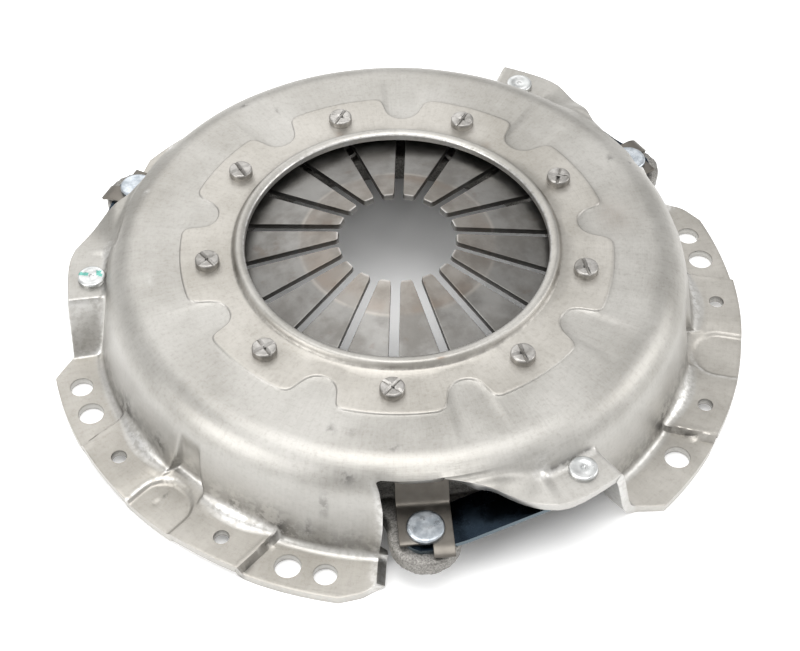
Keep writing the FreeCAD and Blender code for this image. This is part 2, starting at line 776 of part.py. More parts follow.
def make_fulcrum_rivet(index):
    """Head with a stamped cross over the land, shank, and the lower head under the ring."""
    body = new_body("fulcrum_rivet_%d" % (index + 1))
    foot_top = lower_ring_level - S.wire_radius
    foot_bottom = foot_top - S.station_foot_height
    head_top = land_top + S.station_head_height
    edge = S.station_head_height / 4
    sketch = side_sketch(body, "rivet_sketch")
    outline(sketch, [
        (0, foot_bottom),
        (S.station_foot_radius, foot_bottom, edge),
        (S.station_foot_radius, foot_top),
        (S.station_shank_radius, foot_top),
        (S.station_shank_radius, land_top),
        (S.station_head_radius, land_top),
        (S.station_head_radius, head_top, edge),
        (0, head_top),
    ])
    revolve(body, "rivet", sketch)
    arm = S.cross_length / 2
    side = S.cross_width / 2
    cross_sketch = plan_sketch(body, "cross_sketch", head_top)
    outline(cross_sketch, [
        (arm, -side), (arm, side), (side, side), (side, arm), (-side, arm), (-side, side),
        (-arm, side), (-arm, -side), (-side, -side), (-side, -arm), (side, -arm), (side, -side),
    ])
    extrude(body, "cross", cross_sketch, S.cross_depth, "Pocket")
    angle = S.first_segment + index * (360 / S.station_count)
    put(body, *polar(S.station_radius, angle), 0, angle)
    return body


def make_clamp_rivet(name, angle, levels, head_radius, head_height, foot_radius, foot_height):
    """A rivet with two heads. levels are the lower and the upper face that it clamps."""
    body = new_body(name)
    lower, upper = levels
    sketch = side_sketch(body, "rivet_sketch")
    outline(sketch, [
        (0, lower - foot_height),
        (foot_radius, lower - foot_height, foot_height / 2),
        (foot_radius, lower),
        (S.strap_shank_radius, lower),
        (S.strap_shank_radius, upper),
        (head_radius, upper),
        (head_radius, upper + head_height, head_height / 2),
        (0, upper + head_height),
    ])
    revolve(body, "rivet", sketch)
    put(body, *polar(S.ear_radius, angle), 0, angle)
    return body


# Drive straps, each a pack of flat leaves from the shelf down to the ear

def make_leaf(name, segment, layer):
    body = new_body(name)
    half_span = S.ear_radius * sine((S.strap_angle - S.ear_angle) / 2)
    end = half_span + S.strap_overhang
    tail = half_span + S.strap_tail
    bend = half_span - S.strap_grip
    low = S.ear_top + layer * S.leaf_gauge
    high = shelf_underside - (S.leaf_count - layer) * S.leaf_gauge
    sketch = side_sketch(body, "leaf_sketch")
    outline(sketch, [
        (-tail, low), (-bend, low), (bend, high), (end, high),
        (end, high + S.leaf_gauge), (bend, high + S.leaf_gauge),
        (-bend, low + S.leaf_gauge), (-tail, low + S.leaf_gauge),
    ])
    extrude(body, "leaf", sketch, S.strap_width, both_sides=True)
    hole_sketch = plan_sketch(body, "leaf_hole_sketch", 0)
    circle(hole_sketch, -half_span, 0, S.strap_shank_radius + S.shank_clearance)
    circle(hole_sketch, half_span, 0, S.strap_shank_radius)
    cut_through(body, "leaf_holes", hole_sketch)
    round_upright_edges(body, "leaf_corners", S.strap_corner, (end, -tail))
    middle = S.first_segment + segment * segment_pitch + (S.strap_angle + S.ear_angle) / 2
    distance = S.ear_radius * cosine((S.strap_angle - S.ear_angle) / 2)
    put(body, *polar(distance, middle), 0, middle + 90)
    return body


def round_upright_edges(body, name, radius, stands):
    """Rounds the upright edges that stand at these places along x."""
    document.recompute()
    base = body.Tip
    names = []
    for index, edge in enumerate(base.Shape.Edges, start=1):
        ends = [vertex.Point for vertex in edge.Vertexes]
        if len(ends) == 2 and abs(ends[0].z - ends[1].z) > 1e-4:
            if any(abs(ends[0].x - stand.number) < 1e-4 for stand in stands):
                names.append("Edge%d" % index)
    item = body.newObject("PartDesign::Fillet", name)
    item.Base = (base, names)
    item.Radius = radius.number
    item.setExpression("Radius", radius.text)
    return item


# Retracting clips, from the ear up over the spring's rim

def make_clip(index):
    body = new_body("retracting_clip_%d" % (index + 1))
    level = as_value(0)
    lip_slope = -S.cone_angle
    riser_slope = -S.clip_riser_angle
    tab_slope = -S.tab_drop_angle
    bend_radius = S.spring_radius + S.clip_reach
    lip = (S.clip_lip_radius, spring_face(S.clip_lip_radius, 1) + S.spring_clearance)
    bend = (bend_radius, spring_face(bend_radius, 1) + S.spring_clearance)
    foot = (bend[0] + (bend[1] - strap_top) / tangent(S.clip_riser_angle), strap_top)
    upper_lip = offset_corner(lip, S.clip_gauge, lip_slope, lip_slope)
    upper_bend = offset_corner(bend, S.clip_gauge, lip_slope, riser_slope)
    upper_foot = offset_corner(foot, S.clip_gauge, riser_slope, level)
    sketch = side_sketch(body, "clip_sketch")
    outline(sketch, [
        lip,
        bend + (S.clip_gauge,),
        foot + (2 * S.clip_gauge,),
        (S.clip_end, strap_top),
        (S.clip_end, strap_top + S.clip_gauge),
        upper_foot + (S.clip_gauge,),
        upper_bend + (2 * S.clip_gauge,),
        upper_lip,
    ])
    extrude(body, "clip", sketch, S.clip_width, both_sides=True)

    tab_bend = (S.tab_bend_radius, strap_top)
    tab_end = (tab_bend[0] + S.tab_length * cosine(S.tab_drop_angle),
               tab_bend[1] - S.tab_length * sine(S.tab_drop_angle))
    upper_tab_bend = offset_corner(tab_bend, S.clip_gauge, level, tab_slope)
    upper_tab_end = offset_corner(tab_end, S.clip_gauge, tab_slope, tab_slope)
    tab_sketch = side_sketch(body, "tab_sketch")
    outline(tab_sketch, [
        (S.clip_end - S.clip_gauge, strap_top),
        tab_bend + (S.clip_gauge / 2,),
        tab_end,
        upper_tab_end,
        upper_tab_bend + (1.5 * S.clip_gauge,),
        (S.clip_end - S.clip_gauge, strap_top + S.clip_gauge),
    ])
    tab_sketch.AttachmentOffset = FreeCAD.Placement(Vector(0, 0, -S.clip_width.number / 2), Rotation())
    tab_sketch.setExpression("AttachmentOffset.Base.z", (-(S.clip_width / 2)).text)
    extrude(body, "tab", tab_sketch, S.clip_width / 2 - S.tab_start)
    hole_sketch = plan_sketch(body, "clip_hole_sketch", 0)
    circle(hole_sketch, S.ear_radius, 0, S.strap_shank_radius)
    cut_through(body, "clip_hole", hole_sketch)
    put(body, 0, 0, 0, S.first_segment + S.ear_angle + index * segment_pitch)
    return body


# Pressure plate, a cast ring with three ears

def make_pressure_plate():
    body = new_body("pressure_plate")
    ridge_top = spring_face(S.ridge_radius, -1) - S.spring_clearance
    inner_edge = S.ridge_radius - S.ridge_width / 2
    outer_edge = S.ridge_radius + S.ridge_width / 2
    rim_top = plate_top - S.rim_drop
    sketch = side_sketch(body, "plate_sketch")
    outline(sketch, [
        (S.plate_bore_radius, S.friction_level),
        (S.plate_radius, S.friction_level, S.plate_edge),
        (S.plate_radius, rim_top, S.rim_drop),
        (outer_edge + S.ridge_flank, rim_top, S.rim_drop),
        (outer_edge, ridge_top, S.ridge_width / 3),
        (inner_edge, ridge_top, S.ridge_width / 3),
        (inner_edge - S.ridge_flank, plate_top, S.rim_drop),
        (S.plate_bore_radius, plate_top, S.rim_drop),
    ])
    revolve(body, "plate_ring", sketch)

    gap_sketch = plan_sketch(body, "ridge_gap_sketch", ridge_top + S.rim_drop, S.first_segment)
    half = S.ridge_gap_width / 2
    outline(gap_sketch, [
        (inner_edge - S.ridge_flank, -half),
        (outer_edge + S.ridge_flank, -half),
        (outer_edge + S.ridge_flank, half),
        (inner_edge - S.ridge_flank, half),
    ])
    gap = extrude(body, "ridge_gap", gap_sketch, ridge_top - plate_top, "Pocket")
    round_pattern(body, "ridge_gaps", [gap], S.ridge_gap_count)

    ear_sketch = plan_sketch(body, "ear_sketch", S.ear_top - S.ear_thickness, S.first_segment + S.ear_angle)
    half_width = S.ear_half_width
    root = S.plate_radius - 2 * S.rim_drop
    outline(ear_sketch, [
        (root, -half_width - S.ear_flare),
        (S.plate_radius + S.ear_neck, -half_width, S.ear_flare),
        (S.ear_radius, -half_width, None, half_width),
        (S.ear_radius + half_width, 0, None, half_width),
        (S.ear_radius, half_width),
        (S.plate_radius + S.ear_neck, half_width, S.ear_flare),
        (root, half_width + S.ear_flare),
    ])
    ear = extrude(body, "ear", ear_sketch, S.ear_thickness)
    hole_sketch = plan_sketch(body, "ear_hole_sketch", 0, S.first_segment + S.ear_angle)
    circle(hole_sketch, S.ear_radius, 0, S.strap_shank_radius)
    hole = cut_through(body, "ear_hole", hole_sketch)
    round_pattern(body, "ears", [ear, hole], S.segment_count)
    return body


def make_assembly():
    pieces = [make_cover(), make_spring()]
    pieces.append(make_ring("fulcrum_ring_upper", upper_ring_level))
    pieces.append(make_ring("fulcrum_ring_lower", lower_ring_level))
    pieces += [make_fulcrum_rivet(index) for index in station_numbers]
    for index in segment_numbers:
        number = index + 1
        middle = S.first_segment + index * segment_pitch
        strap_bottom = shelf_underside - S.leaf_gauge * S.leaf_count
        ear_bottom = S.ear_top - S.ear_thickness
        pieces.append(make_clamp_rivet(
            "strap_rivet_%d" % number, middle + S.strap_angle, (strap_bottom, S.shelf_top),
            S.cover_head_radius, S.cover_head_height, S.cover_head_radius, S.cover_head_height))
        pieces.append(make_clamp_rivet(
            "ear_rivet_%d" % number, middle + S.ear_angle, (ear_bottom, strap_top + S.clip_gauge),
            S.ear_head_radius, S.ear_head_height, S.ear_foot_radius, S.ear_head_height))
        pieces.append(make_leaf("drive_strap_%d_lower" % number, index, 0))
        pieces.append(make_leaf("drive_strap_%d_upper" % number, index, 1))
        pieces.append(make_clip(index))
    pieces.append(make_pressure_plate())
    return pieces


def check(pieces):
    for item in document.Objects:
        if "Invalid" in item.State or "Error" in item.State:
            raise RuntimeError("%s failed: %s" % (item.Name, item.State))
    for piece in pieces:
        if piece.Shape.isNull() or not piece.Shape.isValid() or len(piece.Shape.Solids) != 1:
            raise RuntimeError("%s has no single valid solid" % piece.Label)


assembly = make_assembly()
document.recompute()
check(assembly)
os.makedirs("parts", exist_ok=True)
for piece in assembly:
    piece.Shape.exportStep(os.path.join("parts", piece.Label + ".step"))
    print("%s %.1f mm3" % (piece.Label, piece.Shape.Volume))
print("ok")
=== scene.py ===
# %% [markdown]
# A clutch pressure plate, photographed on a white table.
# A pressed steel cover carries a diaphragm spring on nine rivets, and three pairs of blued
# straps let a cast iron plate rise and fall inside it.
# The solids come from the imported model. This lesson dresses them: each visible piece gets the
# soft edges, bends and worn metal that the drawing's plain solids lack.

# %% Tools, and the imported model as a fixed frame
import json
import math

import bpy
import numpy as np
from mathutils import Matrix, Vector

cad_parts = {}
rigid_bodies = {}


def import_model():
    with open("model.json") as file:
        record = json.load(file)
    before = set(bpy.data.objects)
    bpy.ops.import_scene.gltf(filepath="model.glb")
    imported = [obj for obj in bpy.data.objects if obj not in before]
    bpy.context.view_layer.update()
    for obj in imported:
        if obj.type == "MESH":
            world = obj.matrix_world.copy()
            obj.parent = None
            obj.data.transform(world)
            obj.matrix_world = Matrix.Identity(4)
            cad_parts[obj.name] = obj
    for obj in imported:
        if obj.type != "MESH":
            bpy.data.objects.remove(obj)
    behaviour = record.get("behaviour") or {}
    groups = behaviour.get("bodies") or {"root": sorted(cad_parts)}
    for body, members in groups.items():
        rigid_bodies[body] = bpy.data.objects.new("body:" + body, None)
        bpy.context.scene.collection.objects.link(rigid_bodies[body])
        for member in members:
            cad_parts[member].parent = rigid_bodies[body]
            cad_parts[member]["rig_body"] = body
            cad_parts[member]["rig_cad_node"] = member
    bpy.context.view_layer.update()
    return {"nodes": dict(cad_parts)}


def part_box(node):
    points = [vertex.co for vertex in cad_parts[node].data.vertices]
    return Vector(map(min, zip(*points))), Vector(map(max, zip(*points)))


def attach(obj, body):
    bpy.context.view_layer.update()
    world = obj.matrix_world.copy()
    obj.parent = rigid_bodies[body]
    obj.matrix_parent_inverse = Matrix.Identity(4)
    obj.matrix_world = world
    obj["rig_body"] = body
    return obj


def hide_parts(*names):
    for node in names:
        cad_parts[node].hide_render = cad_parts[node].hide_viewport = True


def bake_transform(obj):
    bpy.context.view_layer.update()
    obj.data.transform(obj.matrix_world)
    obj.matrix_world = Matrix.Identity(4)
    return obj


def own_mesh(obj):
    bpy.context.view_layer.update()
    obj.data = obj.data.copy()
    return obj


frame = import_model()
MM = 0.001
SAME_POINT = 1e-6

# %% [markdown]
# Most of the work is the same few moves: pick up one piece, choose some of its faces or edges,
# use a tool on them, and apply a modifier. Operators act on whatever is selected, so every
# move starts by putting everything else down.

# %% Picking up one piece
def put_down():
    """Leaves edit mode and deselects everything."""
    if bpy.context.object and bpy.context.object.mode != "OBJECT":
        bpy.ops.object.mode_set(mode="OBJECT")
    bpy.ops.object.select_all(action="DESELECT")


def pick_up(piece):
    """Makes one piece the only selected one, and the active one."""
    put_down()
    piece.select_set(True)
    bpy.context.view_layer.objects.active = piece


# %% Choosing elements by a rule, and working on them in edit mode
def choose(piece, kind, chosen):
    """Opens the piece in edit mode with only the chosen vertices, edges or faces selected."""
    pick_up(piece)
    bpy.ops.object.mode_set(mode="EDIT")
    bpy.ops.mesh.select_mode(type=kind)
    bpy.ops.mesh.select_all(action="DESELECT")
    bpy.ops.object.mode_set(mode="OBJECT")
    elements = {"VERT": piece.data.vertices, "EDGE": piece.data.edges, "FACE": piece.data.polygons}[kind]
    elements.foreach_set("select", np.array(chosen, bool))
    bpy.ops.object.mode_set(mode="EDIT")


def whole(piece):
    """Opens the piece in edit mode with all of it selected."""
    pick_up(piece)
    bpy.ops.object.mode_set(mode="EDIT")
    bpy.ops.mesh.select_mode(type="VERT")
    bpy.ops.mesh.select_all(action="SELECT")


def done():
    bpy.ops.object.mode_set(mode="OBJECT")


def remove_faces(piece, chosen):
    choose(piece, "FACE", chosen)
    bpy.ops.mesh.delete(type="FACE")
    done()


# %% Modifiers that are applied at once, a bevel, and copies that keep their own mesh
def apply_modifier(piece, kind, **settings):
    pick_up(piece)
    modifier = piece.modifiers.new(kind.lower(), kind)
    for name, value in settings.items():
        setattr(modifier, name, value)
    bpy.ops.object.modifier_apply(modifier=modifier.name)


def bevel(piece, edges, width, segments=2):
    choose(piece, "EDGE", edges)
    bpy.ops.mesh.bevel(offset=width * MM, segments=segments, affect="EDGES", clamp_overlap=True)
    done()


def smooth(piece, degrees=35):
    pick_up(piece)
    bpy.ops.object.shade_smooth_by_angle(angle=math.radians(degrees))


def copy_of(master, name, placing):
    """A copy of a piece with its own mesh, which is moved to its place for good."""
    copy = master.copy()
    copy.data = master.data.copy()
    copy.name = copy.data.name = name
    copy.data.transform(placing)
    bpy.context.collection.objects.link(copy)
    return copy


def turned_by(degrees):
    return Matrix.Rotation(math.radians(degrees), 4, "Z")


def join(pieces):
    """Joins pieces into the first one, and returns it."""
    put_down()
    for piece in pieces:
        piece.select_set(True)
    bpy.context.view_layer.objects.active = pieces[0]
    bpy.ops.object.join()
    return bpy.context.object


# %% Reading and writing all the points of a mesh, in millimetres
def points_of(piece):
    points = np.zeros(len(piece.data.vertices) * 3)
    piece.data.vertices.foreach_get("co", points)
    return points.reshape(-1, 3) / MM


def set_points(piece, points):
    piece.data.vertices.foreach_set("co", (np.asarray(points) * MM).ravel())
    piece.data.update()


# %% Values kept on the points, which the finishes read later
def mark(piece, name, values, kind="FLOAT"):
    layer = piece.data.attributes.get(name) or piece.data.attributes.new(name, kind, "POINT")
    layer.data.foreach_set("value", np.asarray(values, np.float32 if kind == "FLOAT" else np.int32))


def marks(piece, name, kind="FLOAT"):
    values = np.zeros(len(piece.data.vertices), np.float32 if kind == "FLOAT" else np.int32)
    piece.data.attributes[name].data.foreach_get("value", values)
    return values


# %% Soft steps between 0 and 1, and a soft hump
def step(value):
    value = np.clip(value, 0, 1)
    return value * value * (3 - 2 * value)


def rise(value, start, width):
    """0 up to the start, then a soft rise to 1 over the width."""
    return step((value - start) / width)


def fall(value, end, width):
    """1 at first, then a soft fall over the width, to 0 at the end."""
    return step((end - value) / width)


def hump(value, middle, width):
    """1 in the middle, falling off to both sides."""
    return np.exp(-((value - middle) / width) ** 2)


print("half way up a soft step:", step(0.5), "and down a hump:", round(float(hump(0.83, 0, 1)), 2))

# %% [markdown]
# The cover is one sheet, 3.5 mm thick, drawn by a press over a die. Its section changes all the
# way round: a deep wall, a flange with raised panels, a high shelf for each strap, an open
# window. Box modelling would need a fresh cage for each of these, so the sheet starts as a flat
# grid, like the blank that goes into the press. A rule then says where the die is under each
# point, the window is cut out of the grid, and only then does the sheet get its thickness.

# %% Where the sheet's lines run, in degrees from the middle of a flange segment
PITCH = 120.0
SEGMENT_MIDDLES = (90.0, 210.0, 330.0)
FLANGE_LEADING_END = 37.9
SHELF_START = 50.0
NECK_TOP = 79.6
NECK_FOOT = 83.4
FLANGE_TRAILING_END = 83.1
TRAILING_CORNER = 87.0
LEADING_CORNER = 152.8
NEXT_LEADING_END = FLANGE_LEADING_END + PITCH
NEXT_MIDDLE = PITCH

# %% Columns of the grid over one third of the cover
NOTCHES = (60.0, 100.0, 140.0)
NOTCH_LINES = (-7.3, -6.7, -6.3, -6.0, -5.7, -5.4, -5.0, -4.5, -3.9,
               3.9, 4.5, 5.0, 5.4, 5.7, 6.0, 6.3, 6.7, 7.3)
JOGGLE_LINES = tuple(np.arange(-3.6, 0.1, 0.2))
JOGGLE_AT = 20.5
fine_lines = [FLANGE_LEADING_END, 38.1, 38.5, 39.0, 39.5, 49.4, 50.0] + list(np.arange(66.6, 70.9, 0.4))
fine_lines += list(np.arange(79.2, 84.3, 0.3))
fine_lines += [TRAILING_CORNER, LEADING_CORNER, 155.0, 155.6, 156.1, 156.6, 157.0, 157.3, 157.6]
fine_lines += [notch + line for notch in NOTCHES for line in NOTCH_LINES]
fine_lines += [NEXT_MIDDLE + side * (JOGGLE_AT + line) for side in (-1, 1) for line in JOGGLE_LINES]
fine_lines += list(np.arange(NEXT_MIDDLE - 6.3, NEXT_MIDDLE + 6.4, 0.3))
COARSE = 0.9
KEEP_CLEAR = 0.25
coarse_lines = [line for line in np.arange(FLANGE_LEADING_END, NEXT_LEADING_END, COARSE)
                if min(abs(line - fine) for fine in fine_lines) > KEEP_CLEAR]
third = np.unique(np.round(fine_lines + coarse_lines, 4))
column_angle = np.concatenate([third + k * PITCH for k in range(3)] + [[FLANGE_LEADING_END + 3 * PITCH]])
print("columns round the cover:", len(column_angle) - 1)

# %% The same angles within one third, and on the part itself
NUDGE = 1e-6
in_third = (column_angle - FLANGE_LEADING_END - NUDGE) % PITCH + FLANGE_LEADING_END + NUDGE
part_angle = column_angle + SEGMENT_MIDDLES[0]

# %% The land round the rivets, whose edge has nine round bays
LAND_TOP = 42.4
CROWN_TOP = 41.7
BAY_PITCH = 40.0
FIRST_BAY = 110.0
BAY_EDGE = [(-9.0, 85.6), (-8.2, 85.4), (-7.3, 84.8), (-6.6, 83.8), (-6.1, 82.4), (-5.8, 81.2), (-5.6, 80.0),
            (-5.3, 78.8), (-4.8, 77.2), (-4.0, 75.6), (-3.0, 74.3), (-2.0, 73.7), (-1.0, 73.3), (0.0, 73.2),
            (1.0, 73.3), (2.0, 73.6), (3.0, 74.2), (4.0, 75.3), (4.8, 76.8), (5.2, 78.2), (5.5, 79.8),
            (5.7, 81.4), (5.9, 82.8), (6.2, 84.0), (6.8, 84.9), (7.5, 85.4), (8.2, 85.6)]
BAY_ASIDE = (0.0, -0.2, -0.2, -0.2, 0.2, 0.4, 0.4, 0.6, -0.2)
bay_number = np.floor((part_angle - FIRST_BAY + BAY_PITCH / 2) / BAY_PITCH).astype(int) % len(BAY_ASIDE)
across_bay = (part_angle - FIRST_BAY + BAY_PITCH / 2) % BAY_PITCH - BAY_PITCH / 2 - np.array(BAY_ASIDE)[bay_number]


def edge_at(across):
    return np.interp(across, *zip(*BAY_EDGE))


NEARBY = (-0.3, -0.15, 0.0, 0.15, 0.3)
land_edge = sum(edge_at(across_bay + shift) for shift in NEARBY) / len(NEARBY)
edge_slope = (edge_at(across_bay + 0.3) - edge_at(across_bay - 0.3)) / (math.radians(0.6) * land_edge)
MOST_LEAN = 3.0
lean = np.minimum(np.hypot(1, edge_slope), MOST_LEAN)
in_bay = fall(np.abs(across_bay), 6.5, 2.5)
print("land edge from", round(land_edge.min(), 1), "to", round(land_edge.max(), 1), "mm")

# %% Rows of the grid from the bore to the shoulder
BEAD = [(60.2, 44.2), (60.45, 44.65), (61.1, 45.0), (61.9, 45.25), (62.7, 45.35), (63.5, 45.2), (64.1, 44.65),
        (64.6, 43.7), (65.1, 42.85), (65.9, 42.42)]
BEAD_END = BEAD[-1][0]
CROWN_END = 101.25
WINDOW_RADIUS = 111.6
SHOULDER_RADIUS = 15.0
SHOULDER_LEVEL = 26.7
LAND_DROP = 0.8
DIMPLE_DEPTH = 0.35
ring_radius = [np.full_like(in_third, radius) for radius, level in BEAD]
ring_level = [np.full_like(in_third, level) for radius, level in BEAD]
for share in (0.25, 0.5, 0.75, 0.95):
    ring_radius.append(BEAD_END + share * (land_edge - 0.5 * lean - BEAD_END))
    ring_level.append(np.full_like(in_third, LAND_TOP))
for beyond, level in ((-0.4, LAND_TOP), (0.0, 42.25), (0.3, 41.8), (LAND_DROP, CROWN_TOP)):
    ring_radius.append(land_edge + beyond * lean)
    ring_level.append(np.full_like(in_third, level))
for share in (0.08, 0.2, 0.4, 0.6, 0.8, 1.0):
    ring_radius.append(land_edge + LAND_DROP * lean + share * (CROWN_END - land_edge - LAND_DROP * lean))
    dimple = DIMPLE_DEPTH * in_bay * math.sqrt(4 * share * (1 - share))
    ring_level.append(CROWN_TOP - dimple)
LAND_ROWS = len(ring_radius)
for radius in np.linspace(CROWN_END, WINDOW_RADIUS, 7)[1:]:
    ring_radius.append(np.full_like(in_third, radius))
    ring_level.append(np.full_like(in_third, SHOULDER_LEVEL
                                   + math.sqrt(SHOULDER_RADIUS ** 2 - (radius - CROWN_END) ** 2)))
RING_ROWS = len(ring_radius)
print("rows from bore to shoulder:", RING_ROWS)

# %% Where the flange, its panels and the shelf lie
SEAT_TOP = 3.5
PANEL_TOP = 6.4
MIDDLE_SEAT_TOP = 4.4
SHELF_TOP = 29.4
FOOT_RADIUS = 118.0
POCKET_HALF_WIDTH = 10.2
POCKET_CENTRE = 132.7
POCKET_ASIDE = 0.5
JOGGLE_TOP = 41.3
JOGGLE_WIDTH = 0.9
JOGGLE_FAN = 0.11
FAN_CENTRE = 131.0


def pocket_distance(radius, aside):
    """How far a point of the flange is outside the round-ended middle seat, in mm."""
    short_of = np.minimum(radius - POCKET_CENTRE, 0)
    return np.hypot(aside - POCKET_ASIDE, short_of) - POCKET_HALF_WIDTH


def past_joggle(radius, aside):
    """How far a point is beyond the top of the step at a panel's end; the steps fan out a little."""
    return np.abs(aside) - (JOGGLE_TOP + JOGGLE_FAN * np.clip(radius - FAN_CENTRE, -10, 10))


def flange_level(radius, aside):
    """Height of the flange: bolt seats, raised panels, and the middle seat pressed back down."""
    from_pocket = pocket_distance(radius, aside)
    outside_joggle = step(past_joggle(radius, aside) / JOGGLE_WIDTH)
    outside_pocket = rise(from_pocket, -0.2, 1.4)
    ridge = 0.1 * hump(np.abs(aside), JOGGLE_TOP - 0.9, 0.8)
    lip = 0.1 * hump(from_pocket, 1.9, 0.9) * rise(radius, 123.0, 3.0)
    dip = 0.9 * hump(np.maximum(from_pocket, 0), 0, 5.0)
    outside = SEAT_TOP + (PANEL_TOP - SEAT_TOP + ridge + lip - dip) * (1 - outside_joggle)
    return outside - (outside - MIDDLE_SEAT_TOP) * (1 - outside_pocket)


# %% The foot level, foot fillet and outer edge of each column
aside_at_foot = FOOT_RADIUS * np.sin(np.radians(in_third - NEXT_MIDDLE))
on_flange = in_third > NECK_FOOT
foot_level = SEAT_TOP + (PANEL_TOP - SEAT_TOP) * (1 - rise(np.abs(aside_at_foot), JOGGLE_TOP, JOGGLE_WIDTH))
neck_share = (in_third - NECK_TOP) / (NECK_FOOT - NECK_TOP)
foot_level = np.where(in_third < NECK_TOP, SHELF_TOP, foot_level)
foot_level = np.where((neck_share >= 0) & (neck_share <= 1),
                      SHELF_TOP - (SHELF_TOP - SEAT_TOP) * step(neck_share), foot_level)
panel_middle = np.clip((np.abs(aside_at_foot) - 10.0) / 31.0, 0, 1)
LEAST_FILLET, MORE_FILLET, SHELF_FILLET = 3.4, 3.4, 4.0
foot_fillet = LEAST_FILLET + MORE_FILLET * np.sin(math.pi * panel_middle)
foot_fillet = np.where(in_third < NECK_FOOT, SHELF_FILLET, foot_fillet)
EDGE_LINE = [(50.0, 112.0), (51.2, 112.5), (52.6, 113.2), (54.4, 114.3), (56.0, 115.8), (58.0, 118.4),
             (60.0, 121.0), (62.0, 123.4), (64.0, 125.8), (66.0, 128.2), (68.0, 130.3), (70.0, 131.2),
             (72.0, 131.4), (75.0, 131.2), (79.6, 130.9), (FLANGE_TRAILING_END, 132.4),
             (TRAILING_CORNER, 140.79), (LEADING_CORNER, 140.79), (156.0, 137.6), (157.2, 135.4),
             (NEXT_LEADING_END, 133.2)]
edge_radius = np.interp(in_third, *zip(*EDGE_LINE))
print("outer edge from", edge_radius.min(), "to", edge_radius.max(), "mm")

# %% The wall, and the thumb-shaped hollow in it over each middle seat
WALL_FOOT = 121.2
WALL_DRAFT = math.radians(11.3)


def wall_radius(level):
    return WALL_FOOT + (SEAT_TOP - level) * math.tan(WALL_DRAFT)


def hollow_depth(aside, level):
    """How far the wall is pressed in over the middle seat."""
    half_width = np.interp(level, [3.5, 9, 15, 25, 27.5], [10.2, 7.6, 5.4, 4.8, 3.0])
    depth = np.interp(level, [3.5, 10, 18, 24, 26.6, 27.8], [4.8, 3.5, 2.2, 1.6, 1.1, 0.0])
    return depth * (1 - rise(np.abs(aside - POCKET_ASIDE), half_width - 1.1, 2.2))


# %% Between the window and the shelf the sheet falls off the shoulder as a gentle skirt
# Each row is (radius, level by the window, level by the shelf), in mm.
SKIRT = [(111.0, 38.1, 38.0), (112.4, 37.0, 35.9), (113.6, 36.1, 34.0), (114.8, 35.8, 32.6), (116.2, 36.0, 31.7),
         (118.0, 35.6, 31.0), (120.0, 34.5, 30.5), (122.0, 33.2, 30.2), (124.0, 31.9, 29.9), (126.0, 30.7, 29.7),
         (128.5, 29.8, 29.55), (130.0, 29.5, 29.5), (145.0, 29.4, 29.4)]
SKIRT_RADIUS, SKIRT_BY_WINDOW, SKIRT_BY_SHELF = zip(*SKIRT)
SKIRT_END = 67.4
SHELF_BEGIN = 69.4


def skirt_level(at_radius, angle):
    """Height of the skirt, lower near the shelf, with the corners of its section rubbed down."""
    lowered = rise(angle, 58.0, 9.5)
    total = 0
    for shift in (-0.8, -0.4, 0, 0.4, 0.8):
        place = np.maximum(at_radius + shift, WINDOW_RADIUS)
        total += ((1 - lowered) * np.interp(place, SKIRT_RADIUS, SKIRT_BY_WINDOW)
                  + lowered * np.interp(place, SKIRT_RADIUS, SKIRT_BY_SHELF))
    return total / 5


# %% One column of the flap below the shoulder: shoulder, wall, fillet, floor
WALL_STEPS = 8
FILLET_STEPS = 7
FLOOR_STEPS = 18
ALL_STEPS = WALL_STEPS + FILLET_STEPS + FLOOR_STEPS
FLOOR_SPACING = 1.3
LEAST_RUN = 0.6
BEYOND_EDGE = 12
SHOULDER_SAMPLES, WALL_SAMPLES, FILLET_SAMPLES, FLOOR_SAMPLES = 30, 40, 20, 60
DOWN = math.pi * 1.5
FAR_ASIDE = 99.0


def arc(centre, arc_radius, first, last, count):
    return [(centre[0] + arc_radius * math.cos(t), centre[1] + arc_radius * math.sin(t))
            for t in np.linspace(first, last, count)]


